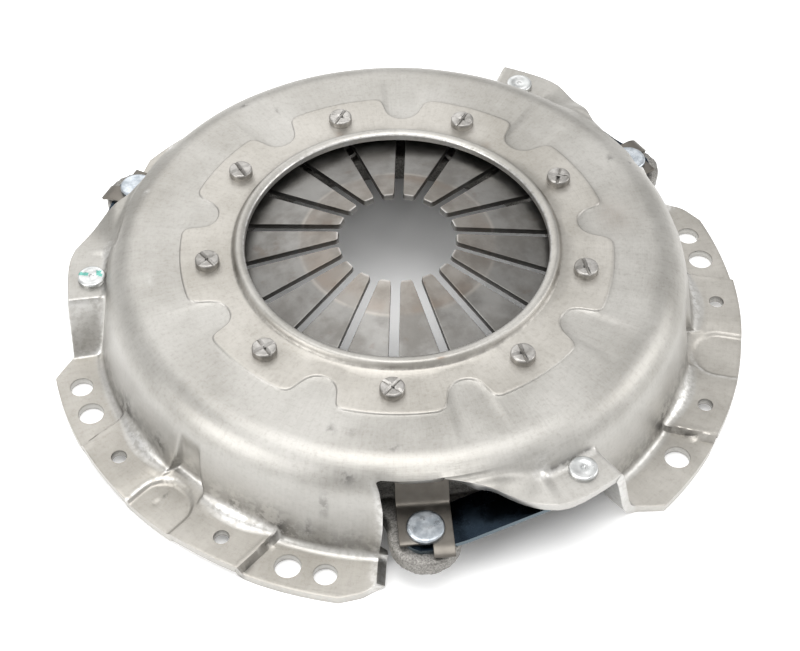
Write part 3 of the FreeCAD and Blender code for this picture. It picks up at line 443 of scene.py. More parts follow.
def flap_section(angle, foot, fillet, edge):
    """A dense line of (radius, level) down one column, and where its fillet and its floor start."""
    aside = FOOT_RADIUS * math.sin(math.radians(angle - NEXT_MIDDLE)) if angle > NECK_FOOT else FAR_ASIDE
    centre_level = foot + fillet
    reach = (SHOULDER_RADIUS + fillet) ** 2 - (centre_level - SHOULDER_LEVEL) ** 2
    centre_radius = CROWN_END + math.sqrt(max(reach, 0))
    turn = math.atan2(centre_radius - CROWN_END, centre_level - SHOULDER_LEVEL)
    start = math.asin((WINDOW_RADIUS - CROWN_END) / SHOULDER_RADIUS)
    steepest = math.pi / 2 - WALL_DRAFT
    on_wall = turn > steepest or reach <= 0
    last = steepest if on_wall else turn
    line = [(CROWN_END + SHOULDER_RADIUS * math.sin(t), SHOULDER_LEVEL + SHOULDER_RADIUS * math.cos(t))
            for t in np.linspace(start, last, SHOULDER_SAMPLES)]
    begin = DOWN - turn
    if on_wall:
        centre_radius = wall_radius(centre_level) + fillet / math.cos(WALL_DRAFT)
        wall_foot = centre_level - fillet * math.sin(WALL_DRAFT)
        line += [(wall_radius(level), level) for level in np.linspace(line[-1][1], wall_foot, WALL_SAMPLES)[1:]]
        begin = math.pi + WALL_DRAFT
    fillet_from = len(line) - 1
    line += arc((centre_radius, centre_level), fillet, begin, DOWN, FILLET_SAMPLES)[1:]
    floor_from = len(line) - 1
    floor_end = max(edge, centre_radius) + BEYOND_EDGE
    line += [(radius, foot) for radius in np.linspace(centre_radius, floor_end, FLOOR_SAMPLES)[1:]]
    line = np.array(line)
    if on_wall:
        line[:, 0] -= hollow_depth(aside, line[:, 1])
        centre_radius -= float(hollow_depth(aside, foot))
    on_skirt = 1 - float(rise(angle, SKIRT_END, SHELF_BEGIN - SKIRT_END))
    if on_skirt > 0:
        from_shoulder = rise(line[:, 0], WINDOW_RADIUS, 1.5)
        line[:, 1] += (skirt_level(line[:, 0], angle) - line[:, 1]) * on_skirt * from_shoulder
    return line, fillet_from, floor_from, centre_radius


def flap_column(angle, foot, fillet, edge):
    """Radius and level of each grid point from the shoulder down to the sheet's edge."""
    line, fillet_from, floor_from, floor_radius = flap_section(angle, foot, fillet, edge)
    run = np.concatenate([[0], np.cumsum(np.hypot(*np.diff(line, axis=0).T))])
    past = min(max(np.searchsorted(line[:, 0], edge), 1), len(line) - 1)
    left, right = line[past - 1, 0], line[past, 0]
    cut = run[past - 1] + (run[past] - run[past - 1]) * np.clip((edge - left) / max(right - left, 1e-6), 0, 1)
    cut = max(cut, LEAST_RUN)
    wall_run, fillet_run = run[fillet_from], run[floor_from]
    squeeze = 1 - rise(angle, 63.0, 8.0)
    wall_squeezed = min(wall_run, cut * WALL_STEPS / ALL_STEPS)
    wall_run += (wall_squeezed - wall_run) * squeeze
    fillet_squeezed = min(fillet_run, wall_run + (cut - wall_run) * FILLET_STEPS / (FILLET_STEPS + FLOOR_STEPS))
    fillet_run += (fillet_squeezed - fillet_run) * squeeze
    floor_shares = np.linspace(0, 1, FLOOR_STEPS + 1)[1:] ** FLOOR_SPACING
    stops = np.concatenate([np.linspace(0, wall_run, WALL_STEPS + 1)[1:],
                            np.linspace(wall_run, fillet_run, FILLET_STEPS + 1)[1:],
                            fillet_run + (cut - fillet_run) * floor_shares])
    return np.interp(stops, run, line[:, 0]), np.interp(stops, run, line[:, 1]), floor_radius


# %% All columns of the flap
columns = [flap_column(*column) for column in zip(in_third, foot_level, foot_fillet, edge_radius)]
flap_radius = np.array([radii for radii, levels, first in columns]).T
flap_level = np.array([levels for radii, levels, first in columns]).T
floor_start = np.array([first for radii, levels, first in columns])
radius = np.vstack([np.array(ring_radius), flap_radius])
level = np.vstack([np.array(ring_level), flap_level])
ROWS = len(radius)
print("rows altogether:", ROWS)

# %% [markdown]
# The press leaves lines that don't run along the radius: the steps at the panels' ends are
# parallel to each other, and the wall flares out where the window cuts it. So the grid's
# columns are bent to follow those lines, because a crease that runs across faces looks ragged.

# %% Columns made parallel beside the panels
turn_from_middle = in_third - NEXT_MIDDLE
parallel = (1 - rise(np.abs(turn_from_middle), 23.0, 9.0)) * on_flange
beyond_foot = np.maximum(radius, FOOT_RADIUS)
aligned = np.degrees(np.arcsin(FOOT_RADIUS * np.sin(np.radians(turn_from_middle)) / beyond_foot))
angle_here = in_third + (aligned - turn_from_middle) * parallel

# %% Which part of the sheet each row and column belongs to
row_number = np.arange(ROWS)[:, None]
flap_row = row_number - RING_ROWS - WALL_STEPS
below_shoulder = row_number >= RING_ROWS
at_window_start = in_third < 100
at_window_end = in_third > 100
on_floor = (flap_row >= 2) & (in_third > NECK_FOOT - 0.05)

# %% The flange's own heights, on the floor of each column
aside = radius * np.sin(np.radians(angle_here - NEXT_MIDDLE))
settle = 1 - rise(radius, floor_start, 2.5)
floor_angle = angle_here[-FLOOR_STEPS] - NEXT_MIDDLE
at_start = flange_level(floor_start, floor_start * np.sin(np.radians(floor_angle)))
floor_height = flange_level(radius, aside) + (foot_level - at_start) * settle
level = np.where(on_floor & (radius >= floor_start - 0.01), floor_height, level)

# %% A punch mark on the middle seat of one segment
PUNCH_ASIDE, PUNCH_RADIUS, PUNCH_DEPTH, PUNCH_WIDTH = -2.4, 133.2, 0.45, 1.1
from_punch = np.hypot(aside - PUNCH_ASIDE, radius - PUNCH_RADIUS)
punched = np.abs(part_angle - SEGMENT_MIDDLES[1]) < 10
level = level - PUNCH_DEPTH * hump(from_punch, 0, PUNCH_WIDTH) * on_floor * punched

# %% The wall flares out beside the window, and its cut edge bows
WALL_HIGH, WALL_HEIGHT = 38.0, 34.5
MOUTH_FLARE, MOUTH_CREASE = 1.9, 0.45
down_wall = np.clip((WALL_HIGH - level) / WALL_HEIGHT, 0, 1)
near_window = rise(in_third, 152.5, NEXT_LEADING_END - 152.5) * at_window_end
edge_bow = np.interp(down_wall, [0, 0.1, 0.3, 0.6, 0.9, 1.0], [-0.8, 0.3, 1.0, 1.0, 0.5, 0.3])
angle_here = angle_here + edge_bow * near_window * (row_number >= RING_ROWS - 2)
in_window_start = fall(in_third, 41.5, 3.6) * at_window_start
angle_here = angle_here - 0.8 * in_window_start * (row_number >= RING_ROWS - 2) * ~below_shoulder
mouth = MOUTH_FLARE * rise(in_third, 154.6, 3.3) ** 1.5 - MOUTH_CREASE * hump(in_third, 154.3, 0.8)
mouth_share = np.sin(math.pi * np.clip(down_wall * 1.02, 0, 1)) ** 0.6
radius = radius + mouth * mouth_share * below_shoulder * at_window_end

# %% The window's corner is round, and the rim beside it flares up
CORNER_RADIUS = 3.0
RIM_DROP, RIM_SLOPE, RIM_FLARE = 0.3, 0.85, 0.55
from_corner = np.radians(in_third - FLANGE_LEADING_END) * WINDOW_RADIUS
short_of_corner = np.maximum(CORNER_RADIUS - from_corner, 0)
corner_rise = CORNER_RADIUS - np.sqrt(np.maximum(CORNER_RADIUS ** 2 - short_of_corner ** 2, 0))
window_edge = ((row_number == RING_ROWS - 1) & (in_third > FLANGE_LEADING_END + 0.01)
               & (in_third < SHELF_START))
rim_drop = RIM_DROP * rise(from_corner, 0.3, 2.0) * fall(in_third, SHELF_START, 3.0)
rim_drop = np.maximum(rim_drop, corner_rise) * window_edge
radius = radius + rim_drop
level = level - RIM_SLOPE * rim_drop
beside_rim = rise(in_third, 39.0, 3.0) * (1 - rise(in_third, 56.0, 9.0)) * at_window_start
rim_flare = RIM_FLARE * beside_rim * np.where(below_shoulder, 1, rise(radius, 109.4, 2.4))
radius = radius + rim_flare
level = level + rim_flare

# %% The crown is not quite true
wave_angle = np.radians(part_angle)
wave = (0.10 * np.sin(3 * wave_angle + 1.1) + 0.07 * np.sin(7 * wave_angle + 0.4) * np.cos(radius / 9.0)
        + 0.05 * np.sin(17 * wave_angle + radius / 6.0))
on_crown = rise(radius, 88.0, 6.0) * fall(radius, 120.0, 4.0)
level = level + wave * on_crown

# %% Points of the upper face
turn_here = np.radians(angle_here + (part_angle - in_third))
top = np.stack([radius * np.cos(turn_here), radius * np.sin(turn_here), level], axis=-1)
run_down = np.concatenate([np.zeros((1, len(in_third))),
                           np.cumsum(np.hypot(np.diff(radius, axis=0), np.diff(level, axis=0)), axis=0)])
print("the sheet runs", round(run_down.max(), 1), "mm from bore to rim")

# %% Directions square to the sheet, evened out so that the lower face has no folds
def even_out(field, times):
    for _ in range(times):
        ring = np.concatenate([field[:, -2:-1], field[:, :-1], field[:, 1:2]], axis=1)
        beside = (ring[:, :-2] + ring[:, 2:]) / 2
        beside = np.concatenate([beside, beside[:, :1]], axis=1)
        padded = np.concatenate([field[:1], field, field[-1:]])
        above_below = (padded[:-2] + padded[2:]) / 2
        field = 0.4 * field + 0.3 * beside + 0.3 * above_below
    return field


wrapped = np.concatenate([top[:, -2:-1], top, top[:, 1:2]], axis=1)
square = np.cross(np.gradient(top, axis=0), wrapped[:, 2:] - wrapped[:, :-2])
square /= np.maximum(np.linalg.norm(square, axis=-1, keepdims=True), 1e-9)
square = even_out(square, 3)
square /= np.linalg.norm(square, axis=-1, keepdims=True)
print("most faces look up:", round(float((square[..., 2] > 0).mean()), 2))

# %% Points of the lower face, which is flat from the bead to the shoulder
GAUGE = 3.5
UNDER_CROWN = 38.2
bottom = top - GAUGE * square
bottom[:LAND_ROWS, :, :2] = top[:LAND_ROWS, :, :2]
bottom[:LAND_ROWS, :, 2] = np.interp(radius[:LAND_ROWS], [60.2, 65.0, 66.0], [41.9, 38.5, UNDER_CROWN])
bottom[..., 2] = np.maximum(bottom[..., 2], 0.0)

# %% The flat grid goes into the press
def pressed_grid(name, rows, columns, points):
    """A grid whose points are laid row by row at the given places, with a UV map along the sheet."""
    put_down()
    bpy.ops.mesh.primitive_grid_add(x_subdivisions=columns - 1, y_subdivisions=rows - 1, size=1, calc_uvs=True)
    piece = bpy.context.object
    piece.name = piece.data.name = name
    set_points(piece, points.reshape(-1, 3))
    mark(piece, "row", np.repeat(np.arange(rows), columns), "INT")
    mark(piece, "column", np.tile(np.arange(columns), rows), "INT")
    return piece


cover = pressed_grid("cover_sheet", ROWS, len(column_angle), top)
corners = np.zeros(len(cover.data.loops), np.int64)
cover.data.loops.foreach_get("vertex_index", corners)
along_sheet = np.stack([np.broadcast_to(column_angle / 360, radius.shape).ravel()[corners],
                        (run_down * MM * 10).ravel()[corners]], axis=-1)
cover.data.uv_layers[0].data.foreach_set("uv", along_sheet.astype(np.float32).ravel())
print("points in the grid:", len(cover.data.vertices))

# %% How rubbed and how dirty each place is, and where highlights and shade are painted
# Painted highlights: the fillets, the rim round each middle seat, the bore's edge, the wall beside the window, the
# neck and the groove are made lighter in colour where light catches them. The flakes added further on are real
# rubbed spots.
in_fillet = hump(flap_row, 3.0, 2.2)
off_middle = np.clip((np.abs(turn_from_middle) - 6.0) / 14.0, 0, 1)
fillet_highlight = in_fillet * np.where(on_flange, 0.35 + 0.65 * np.sin(math.pi * off_middle), 0.45) * (in_third > 66)
below_joggle = hump(past_joggle(radius, aside), 0.9, 0.55) * on_floor
round_pocket = hump(pocket_distance(radius, aside), 1.6, 0.7) * on_floor * fall(aside, 1.5, 8.0)
bead_edge = hump(radius, 60.55, 0.35)
beside_window = rise(in_third, 156.2, 1.2) * below_shoulder * at_window_end
on_neck = rise(in_third, NECK_TOP - 0.4, 0.8) * fall(in_third, NECK_FOOT + 0.4, 0.8) * (radius > 119)
groove = hump(in_third, 68.6, 1.2) * hump(radius, 115.0, 3.0) * below_shoulder
wear_and_highlight = np.clip(0.85 * fillet_highlight + 0.6 * round_pocket + 0.8 * bead_edge
                 + 0.55 * beside_window + 0.45 * on_neck + 0.5 * groove, 0, 1)
# Painted shade: the wall just above the flange's fillet (most of all near the panel steps), the foot of each panel
# step, the bead's outer foot and the shelf's foot are darkened in colour. The smears added further on are real dirt.
above_fillet = hump(flap_row, -1.2, 1.6) * on_flange
near_joggle_foot = hump(np.abs(turn_from_middle), 20.0, 3.0)
on_shelf_foot = hump(flap_row, 1.0, 1.2) * (in_third > 70) * (in_third < 79)
dirt_and_shade = np.clip(above_fillet * (0.45 + 0.7 * near_joggle_foot) + below_joggle
                + 0.5 * hump(radius, 65.1, 0.45) + 0.8 * on_shelf_foot, 0, 1)

# %% Smears, scuffs and rust specks in the places where the photograph has them
# Each is (angle on the part, radius, half length along the turn, half width across, in mm).
SMEARS = [(238.2, 116.9, 1.2, 5.0), (235.6, 119.6, 1.5, 3.2), (251.3, 101.4, 2.5, 0.8), (242.0, 111.7, 3.0, 1.0),
          (236.2, 95.4, 2.2, 0.7), (241.2, 96.0, 2.6, 0.7), (246.0, 97.0, 2.2, 0.6), (202.7, 119.0, 4.0, 3.5),
          (221.2, 119.6, 4.0, 3.5), (168.3, 99.8, 4.0, 0.9), (105.3, 93.6, 2.0, 0.8), (109.9, 105.0, 3.0, 0.9),
          (286.9, 66.9, 1.2, 1.0), (208.9, 133.0, 0.7, 1.7), (10.7, 101.7, 1.6, 1.0), (8.0, 108.6, 1.3, 0.9)]
FLAKES = [(172.9, 99.5, 3.4, 1.0), (148.3, 100.0, 2.2, 0.6), (152.4, 98.8, 1.5, 0.6), (145.0, 106.5, 1.2, 0.5)]
RUST = [(38.2, 65.6), (23.2, 64.9), (12.2, 64.8), (0.8, 64.4), (354.0, 64.2), (266.2, 63.6), (92.4, 65.8)]


def run_at(spot_radius):
    """How far down the sheet a radius is, on the plain part of the wall."""
    plain = int(np.argmin(np.abs(in_third - 100.0)))
    return np.interp(spot_radius, radius[:, plain], run_down[:, plain])


def near(spot_angle, spot_radius, half_length, half_width):
    """1 at a spot on the sheet, falling to 0 a little beyond its size."""
    along_turn = ((turn_here - math.radians(spot_angle) + math.pi) % (2 * math.pi) - math.pi) * radius
    return hump(along_turn, 0, half_length) * hump(run_down, run_at(spot_radius), half_width)


for spot in SMEARS:
    dirt_and_shade = np.maximum(dirt_and_shade, near(*spot))
for spot in FLAKES:
    wear_and_highlight = np.maximum(wear_and_highlight, near(*spot))
rusty = 0.25 * near(352.6, 88.5, 9.0, 6.0)
rusty = np.clip(rusty + np.maximum.reduce([near(*spot, 1.6, 0.5) for spot in RUST]), 0, 1)
on_land = (row_number > 5) & (row_number < len(BEAD) + 5)
shade = 0.5 + 0.5 * on_land - 0.5 * rise(flap_row, 5, 3.0) * on_flange
for name, values in (("rusty", rusty), ("shade", shade), ("wear_and_highlight", wear_and_highlight), ("dirt_and_shade", dirt_and_shade)):
    mark(cover, name, np.broadcast_to(values, radius.shape).ravel())

# %% The seam is closed and the windows are cut out
whole(cover)
bpy.ops.mesh.remove_doubles(threshold=SAME_POINT)
done()
row_of = marks(cover, "row", "INT")
column_of = marks(cover, "column", "INT")
open_columns = set(np.nonzero((in_third < SHELF_START - 0.01) | (in_third > NEXT_LEADING_END - 0.01))[0])
in_window = []
# A face on the closed seam has its columns at both ends of the count, so its first is the last.
for face in cover.data.polygons:
    face_rows = [row_of[v] for v in face.vertices]
    face_columns = sorted(column_of[v] for v in face.vertices)
    first = face_columns[0] if face_columns[-1] - face_columns[0] < 5 else face_columns[-1]
    in_window.append(min(face_rows) >= RING_ROWS - 1 and first in open_columns)
remove_faces(cover, in_window)
print("faces left in the sheet:", len(cover.data.polygons))

# %% Thickness
sheet_points = len(cover.data.vertices)
apply_modifier(cover, "SOLIDIFY", thickness=GAUGE * MM, offset=-1.0, use_rim=True)
print("points doubled by the thickness:", len(cover.data.vertices) == 2 * sheet_points)
points = points_of(cover)
row_of = marks(cover, "row", "INT")
column_of = marks(cover, "column", "INT")
points[:sheet_points] = top[row_of[:sheet_points], column_of[:sheet_points]]
points[sheet_points:] = bottom[row_of[sheet_points:], column_of[sheet_points:]]
set_points(cover, points)

# %% The sheared rims lose their sharp corners
def rim_edges(piece, upper_points):
    """Edges that run along the rim, where the wall of the cut meets either face of the sheet."""
    chosen = np.zeros(len(piece.data.edges), bool)
    keys = {}
    for edge in piece.data.edges:
        keys[tuple(sorted(edge.vertices))] = edge.index
    for face in piece.data.polygons:
        sides = [v < upper_points for v in face.vertices]
        if any(sides) and not all(sides):
            for a, b in face.edge_keys:
                if (a < upper_points) == (b < upper_points):
                    chosen[keys[tuple(sorted((a, b)))]] = True
    return chosen


def thicken(piece, gauge, rim, segments=2, **settings):
    """Gives a sheet its thickness, half to each side, and softens its rims."""
    flat_points = len(piece.data.vertices)
    apply_modifier(piece, "SOLIDIFY", thickness=gauge * MM, offset=0.0, use_rim=True, **settings)
    bevel(piece, rim_edges(piece, flat_points), rim, segments)


def turn_over(piece):
    """Turns all faces of a piece to look the other way."""
    whole(piece)
    bpy.ops.mesh.flip_normals()
    done()


bevel(cover, rim_edges(cover, sheet_points), 0.5)
print("faces with soft rims:", len(cover.data.polygons))

# %% [markdown]
# The holes are punched last, as on the real part. Each cutter is a pin with a waist, so that the
# Boolean leaves a small chamfer at both faces, which catches the light as a real punched edge does.

# %% Pins for the holes: circle, turn from the segment's middle, radius
HOLES = [(131.7, -30.0, 4.4), (131.7, 30.0, 4.4), (131.7, -23.8, 4.9), (131.7, 23.8, 4.9),
         (131.7, -12.1, 2.85), (131.7, 12.1, 2.85)]
NO_HOLE = (330.0, -30.0)
SMALL_HOLE = 3.0
CHAMFER = 0.35
PIN_END = 0.4


def polar(at_radius, degrees):
    return at_radius * math.cos(math.radians(degrees)), at_radius * math.sin(math.radians(degrees))


def hole_pin(x, y, hole_radius, face_level):
    """A cutter for one hole, wider where it leaves each face of the sheet."""
    put_down()
    bpy.ops.mesh.primitive_cylinder_add(vertices=48, radius=hole_radius * MM, depth=GAUGE * MM,
                                        location=(x * MM, y * MM, (face_level - GAUGE / 2) * MM))
    pin = bpy.context.object
    bpy.ops.object.transform_apply(location=True, rotation=True, scale=True)
    for side in (1, -1):
        choose(pin, "FACE", [face.normal.z * side > 0.9 for face in pin.data.polygons])
        bpy.ops.mesh.extrude_region_move()
        bpy.ops.transform.translate(value=(0, 0, side * PIN_END * MM))
        bpy.ops.transform.resize(value=((hole_radius + PIN_END) / hole_radius,) * 2 + (1,),
                                 center_override=(x * MM, y * MM, 0))
        done()
    points = points_of(pin)
    shift = np.where(np.abs(points[:, 2] - face_level) < 0.05, -CHAMFER, 0)
    shift += np.where(np.abs(points[:, 2] - face_level + GAUGE) < 0.05, CHAMFER, 0)
    points[:, 2] += shift
    set_points(pin, points)
    return pin


# %% Seventeen holes through the flange, cut in one go
pins = []
for middle in SEGMENT_MIDDLES:
    for hole_circle, offset, hole_radius in HOLES:
        if (middle, offset) == NO_HOLE:
            continue
        face_level = PANEL_TOP if hole_radius < SMALL_HOLE else SEAT_TOP
        pins.append(hole_pin(*polar(hole_circle, middle + offset), hole_radius, face_level))
print("holes to cut:", len(pins))
all_pins = join(pins)
apply_modifier(cover, "BOOLEAN", operation="DIFFERENCE", object=all_pins, solver="EXACT")
bpy.data.objects.remove(all_pins)
print("faces in the cover:", len(cover.data.polygons))
smooth(cover, 38)
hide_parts("cover")
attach(cover, "cover")

# %% [markdown]
# Materials. The steel is bare: warm light grey, with fine drawn marks along the sheet, dark scuffs and
# bright rubbed flakes. Its bends and edges get painted highlights, its steep walls painted light, and its
# creases and the feet of its steps painted shade. Small helpers make nodes and feed them, and one
# completes a finish, so that each one below reads as a short recipe.

# %% Nodes for a finish
def new_finish(name):
    finish = bpy.data.materials.new(name)
    finish.use_nodes = True
    return finish, finish.node_tree


def feed(tree, socket, value):
    """Links another node's output to a socket, or sets the socket to a plain value."""
    if isinstance(value, bpy.types.NodeSocket):
        tree.links.new(value, socket)
    else:
        socket.default_value = value


def add(tree, kind, inputs=None, **settings):
    """Adds a node, sets its settings, and fills or links its inputs."""
    node = tree.nodes.new("ShaderNode" + kind)
    for name, value in settings.items():
        setattr(node, name, value)
    for name, value in (inputs or {}).items():
        feed(tree, node.inputs[name], value)
    return node


def ramp(tree, factor, *stops, smooth_stops=True):
    """A colour ramp from (place, colour) pairs; a plain number stands for a grey."""
    node = add(tree, "ValToRGB", {"Fac": factor})
    node.color_ramp.interpolation = "EASE" if smooth_stops else "LINEAR"
    while len(node.color_ramp.elements) < len(stops):
        node.color_ramp.elements.new(0.5)
    for element, (place, colour) in zip(node.color_ramp.elements, stops):
        element.position = place
        element.color = (*colour, 1) if isinstance(colour, tuple) else (colour, colour, colour, 1)
    return node.outputs["Color"]


def blend_colours(tree, factor, first, second, way="MIX"):
    node = add(tree, "Mix", data_type="RGBA", blend_type=way)
    for socket, value in ((node.inputs[0], factor), (node.inputs[6], first), (node.inputs[7], second)):
        feed(tree, socket, (*value, 1) if isinstance(value, tuple) else value)
    return node.outputs[2]


def combine(tree, operation, *values):
    """The values put together one after the other with one operation."""
    total = values[0]
    for value in values[1:]:
        total = add(tree, "Math", {0: total, 1: value}, operation=operation).outputs[0]
    return total


def times(tree, *factors):
    return combine(tree, "MULTIPLY", *factors)


def vectors(tree, operation, *inputs):
    return add(tree, "VectorMath", dict(enumerate(inputs)), operation=operation).outputs["Vector"]


def span(tree, value, from_min, from_max, to_min=0.0, to_max=1.0):
    """The value taken from one range to another, and held inside it."""
    return add(tree, "MapRange", {"Value": value, "From Min": from_min, "From Max": from_max,
                                  "To Min": to_min, "To Max": to_max}).outputs["Result"]


def noise(tree, vector, scale, detail=3.0, roughness=0.55):
    node = add(tree, "TexNoise", {"Vector": vector, "Scale": scale, "Detail": detail, "Roughness": roughness})
    return node.outputs["Fac"]


def object_place(tree):
    return add(tree, "TexCoord").outputs["Object"]


def attribute(tree, name):
    return add(tree, "Attribute", attribute_name=name).outputs["Fac"]


def distance_from_axis(tree, place):
    """The place split into its coordinates, its vector in the flat, and how far it is from the axis."""
    apart = add(tree, "SeparateXYZ", {"Vector": place})
    flat = add(tree, "CombineXYZ", {"X": apart.outputs["X"], "Y": apart.outputs["Y"]}).outputs["Vector"]
    return apart, flat, add(tree, "VectorMath", {0: flat}, operation="LENGTH").outputs["Value"]


def complete(pieces, finish, colour, rough, bump=None, metallic=1.0):
    """Gives the shader its colour, roughness and bump (height, strength, distance), and the pieces the finish."""
    tree = finish.node_tree
    shader = tree.nodes["Principled BSDF"]
    feed(tree, shader.inputs["Base Color"], colour)
    feed(tree, shader.inputs["Metallic"], metallic)
    feed(tree, shader.inputs["Roughness"], rough)
    if bump:
        raised = add(tree, "Bump", dict(zip(("Height", "Strength", "Distance"), bump)))
        feed(tree, shader.inputs["Normal"], raised.outputs["Normal"])
    for piece in pieces:
        piece.data.materials.clear()
        piece.data.materials.append(finish)


# %% Bare pressed steel
steel, tree = new_finish("pressed_steel")
here = object_place(tree)
apart, flat_vector, from_axis = distance_from_axis(tree, here)
down_sheet = combine(tree, "SUBTRACT", from_axis, apart.outputs["Z"])
heading = vectors(tree, "NORMALIZE", flat_vector)


def along_sheet_place(tree, around_scale, down_scale):
    """Texture space wound round the axis, so that marks can run round the sheet or down it."""
    wound = vectors(tree, "MULTIPLY", heading, (around_scale,) * 3)
    downward = add(tree, "CombineXYZ", {"Z": times(tree, down_sheet, down_scale)}).outputs["Vector"]
    return vectors(tree, "ADD", wound, downward)


# A light steel colour for the painted highlights, the painted light on the walls and the rubbed flakes
BRIGHT_STEEL = (0.72, 0.715, 0.70)
cloud = noise(tree, here, 22.0, 5.0, 0.6)
grain = noise(tree, here, 700.0, 4.0, 0.7)
drawn_round = noise(tree, along_sheet_place(tree, 15.0, 1500.0), 1.0, 4.0, 0.65)
drawn_down = noise(tree, along_sheet_place(tree, 110.0, 60.0), 1.0, 4.0, 0.65)
base = ramp(tree, cloud, (0.28, (0.345, 0.332, 0.307)), (0.72, (0.50, 0.487, 0.463)))
shade_tone = ramp(tree, attribute(tree, "shade"), (0.0, (0.96, 0.945, 0.92)), (0.5, (0.96, 0.96, 0.955)),
                  (1.0, (1.0, 0.985, 0.96)), smooth_stops=False)
round_marks = ramp(tree, drawn_round, (0.38, (0.74, 0.735, 0.73)), (0.62, 1.0))
down_marks = ramp(tree, drawn_down, (0.36, (0.78, 0.775, 0.77)), (0.6, 1.0))
spots = ramp(tree, grain, (0.3, (0.78, 0.77, 0.75)), (0.52, 1.0))
for share, layer in ((1.0, shade_tone), (0.12, round_marks), (0.18, down_marks), (0.5, spots)):
    base = blend_colours(tree, share, base, layer, "MULTIPLY")

# %% The steel's walls with painted light, its rubbed flakes and painted highlights, its dirt and painted shade, and its rust
# Steep faces are painted lighter: painted light for the bright surroundings that the walls reflect
object_normal = add(tree, "SeparateXYZ", {"Vector": add(tree, "TexCoord").outputs["Normal"]})
on_wall = span(tree, object_normal.outputs["Z"], 0.12, 0.5, 0.3, 0.0)
wear_and_highlight_patches = ramp(tree, noise(tree, here, 420.0, 4.0, 0.62), (0.36, 0.15), (0.6, 1.0))
wear_and_highlight_patchy = times(tree, attribute(tree, "wear_and_highlight"), wear_and_highlight_patches)
dirt_and_shade_patches = ramp(tree, noise(tree, here, 300.0, 4.0, 0.65), (0.40, 0.1), (0.58, 1.0))
dirt_and_shade_patchy = times(tree, attribute(tree, "dirt_and_shade"), dirt_and_shade_patches, 0.8)
rust_patches = ramp(tree, grain, (0.35, 0.2), (0.6, 1.0))
rust_patchy = times(tree, attribute(tree, "rusty"), rust_patches, 0.75)
for share, colour in ((on_wall, BRIGHT_STEEL), (wear_and_highlight_patchy, BRIGHT_STEEL),
                      (dirt_and_shade_patchy, (0.11, 0.105, 0.10)), (rust_patchy, (0.20, 0.12, 0.07))):
    base = blend_colours(tree, share, base, colour)
rough = blend_colours(tree, wear_and_highlight_patchy, ramp(tree, cloud, (0.3, 0.38), (0.7, 0.5)), (0.27, 0.27, 0.27))
relief = combine(tree, "ADD", times(tree, drawn_round, 0.5), times(tree, drawn_down, 0.5), times(tree, grain, 0.3))
complete([cover], steel, base, rough, (relief, 0.2, 0.0004))

# %% [markdown]
# The diaphragm spring is a shallow cone of spring steel, cut into eighteen fingers. One finger,
# an eighteenth of a turn, is pressed from a grid and copied round, then the copies are joined
# where they meet in the outer ring.

# %% The spring's numbers
PIVOT_RADIUS = 80.35
PIVOT_LEVEL = 33.34
CONE = math.tan(math.radians(11.5))
SPRING_GAUGE = 2.4
FINGERS = 18
SLOT_HALF = 1.8
EYE_HALF = 5.5
EYE_INNER, EYE_OUTER = 70.5, 79.8


def spring_level(at_radius):
    """Middle of the spring's thickness."""
    return PIVOT_LEVEL + (PIVOT_RADIUS - at_radius) * CONE


# %% One finger, with a window between it and the next that narrows to a slot
EYE_MIDDLE, EYE_REACH, EYE_FULLNESS = 75.15, 4.9, 1.25
TIP_END, TIP_REACH, TIP_ROUND = 24.6, 1.4, 0.5
finger_rows = [23.2, 23.7, TIP_END, 26.5, 29, 32, 36, 40, 45, 50, 55, 60, 65, 68.5, 70.2, 70.8, 71.8, 73.4, 75.2,
               77.0, 78.4, 79.3, 79.8, 80.4, 83, 86, 90, 94, 98, 99.5, 100.0]
across_shares = np.array([-1, -0.93, -0.8, -0.5, -0.2, 0.0, 0.2, 0.5, 0.8, 0.93, 1])
finger_points = []
for at in finger_rows:
    sector = at * math.sin(math.pi / FINGERS)
    half = sector if at >= EYE_OUTER else sector - SLOT_HALF
    if EYE_INNER < at < EYE_OUTER:
        bulge = min(1.0, math.sqrt(max(1 - ((at - EYE_MIDDLE) / EYE_REACH) ** 2, 0)) * EYE_FULLNESS)
        half -= (EYE_HALF - SLOT_HALF) * bulge
    if at < TIP_END:
        half -= TIP_ROUND * ((TIP_END - at) / TIP_REACH) ** 2
    for y in across_shares * half:
        x = math.sqrt(at ** 2 - y ** 2) if at >= EYE_OUTER else at
        finger_points.append((x, y, spring_level(at)))
finger = pressed_grid("diaphragm_spring_fingers", len(finger_rows), len(across_shares), np.array(finger_points))

# %% Eighteen copies, joined into one spring
join([finger] + [copy_of(finger, "finger_%d" % (index + 1), turned_by(360 / FINGERS * index))
                 for index in range(1, FINGERS)])
whole(finger)
bpy.ops.mesh.remove_doubles(threshold=0.02 * MM)
bpy.ops.mesh.normals_make_consistent(inside=False)
done()
if sum(face.normal.z * face.area for face in finger.data.polygons) < 0:
    turn_over(finger)
thicken(finger, SPRING_GAUGE, 0.3)
smooth(finger, 35)
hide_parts("diaphragm_spring")
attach(finger, "cover")
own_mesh(finger)
print("spring faces:", len(finger.data.polygons))

# %% Spring steel, grey-brown, with a patchy heat tint and a painted highlight on the rolled tips
spring_steel, tree = new_finish("spring_steel")
here = object_place(tree)
apart, flat_vector, from_axis = distance_from_axis(tree, here)
share_out = span(tree, from_axis, 0.023, 0.075)
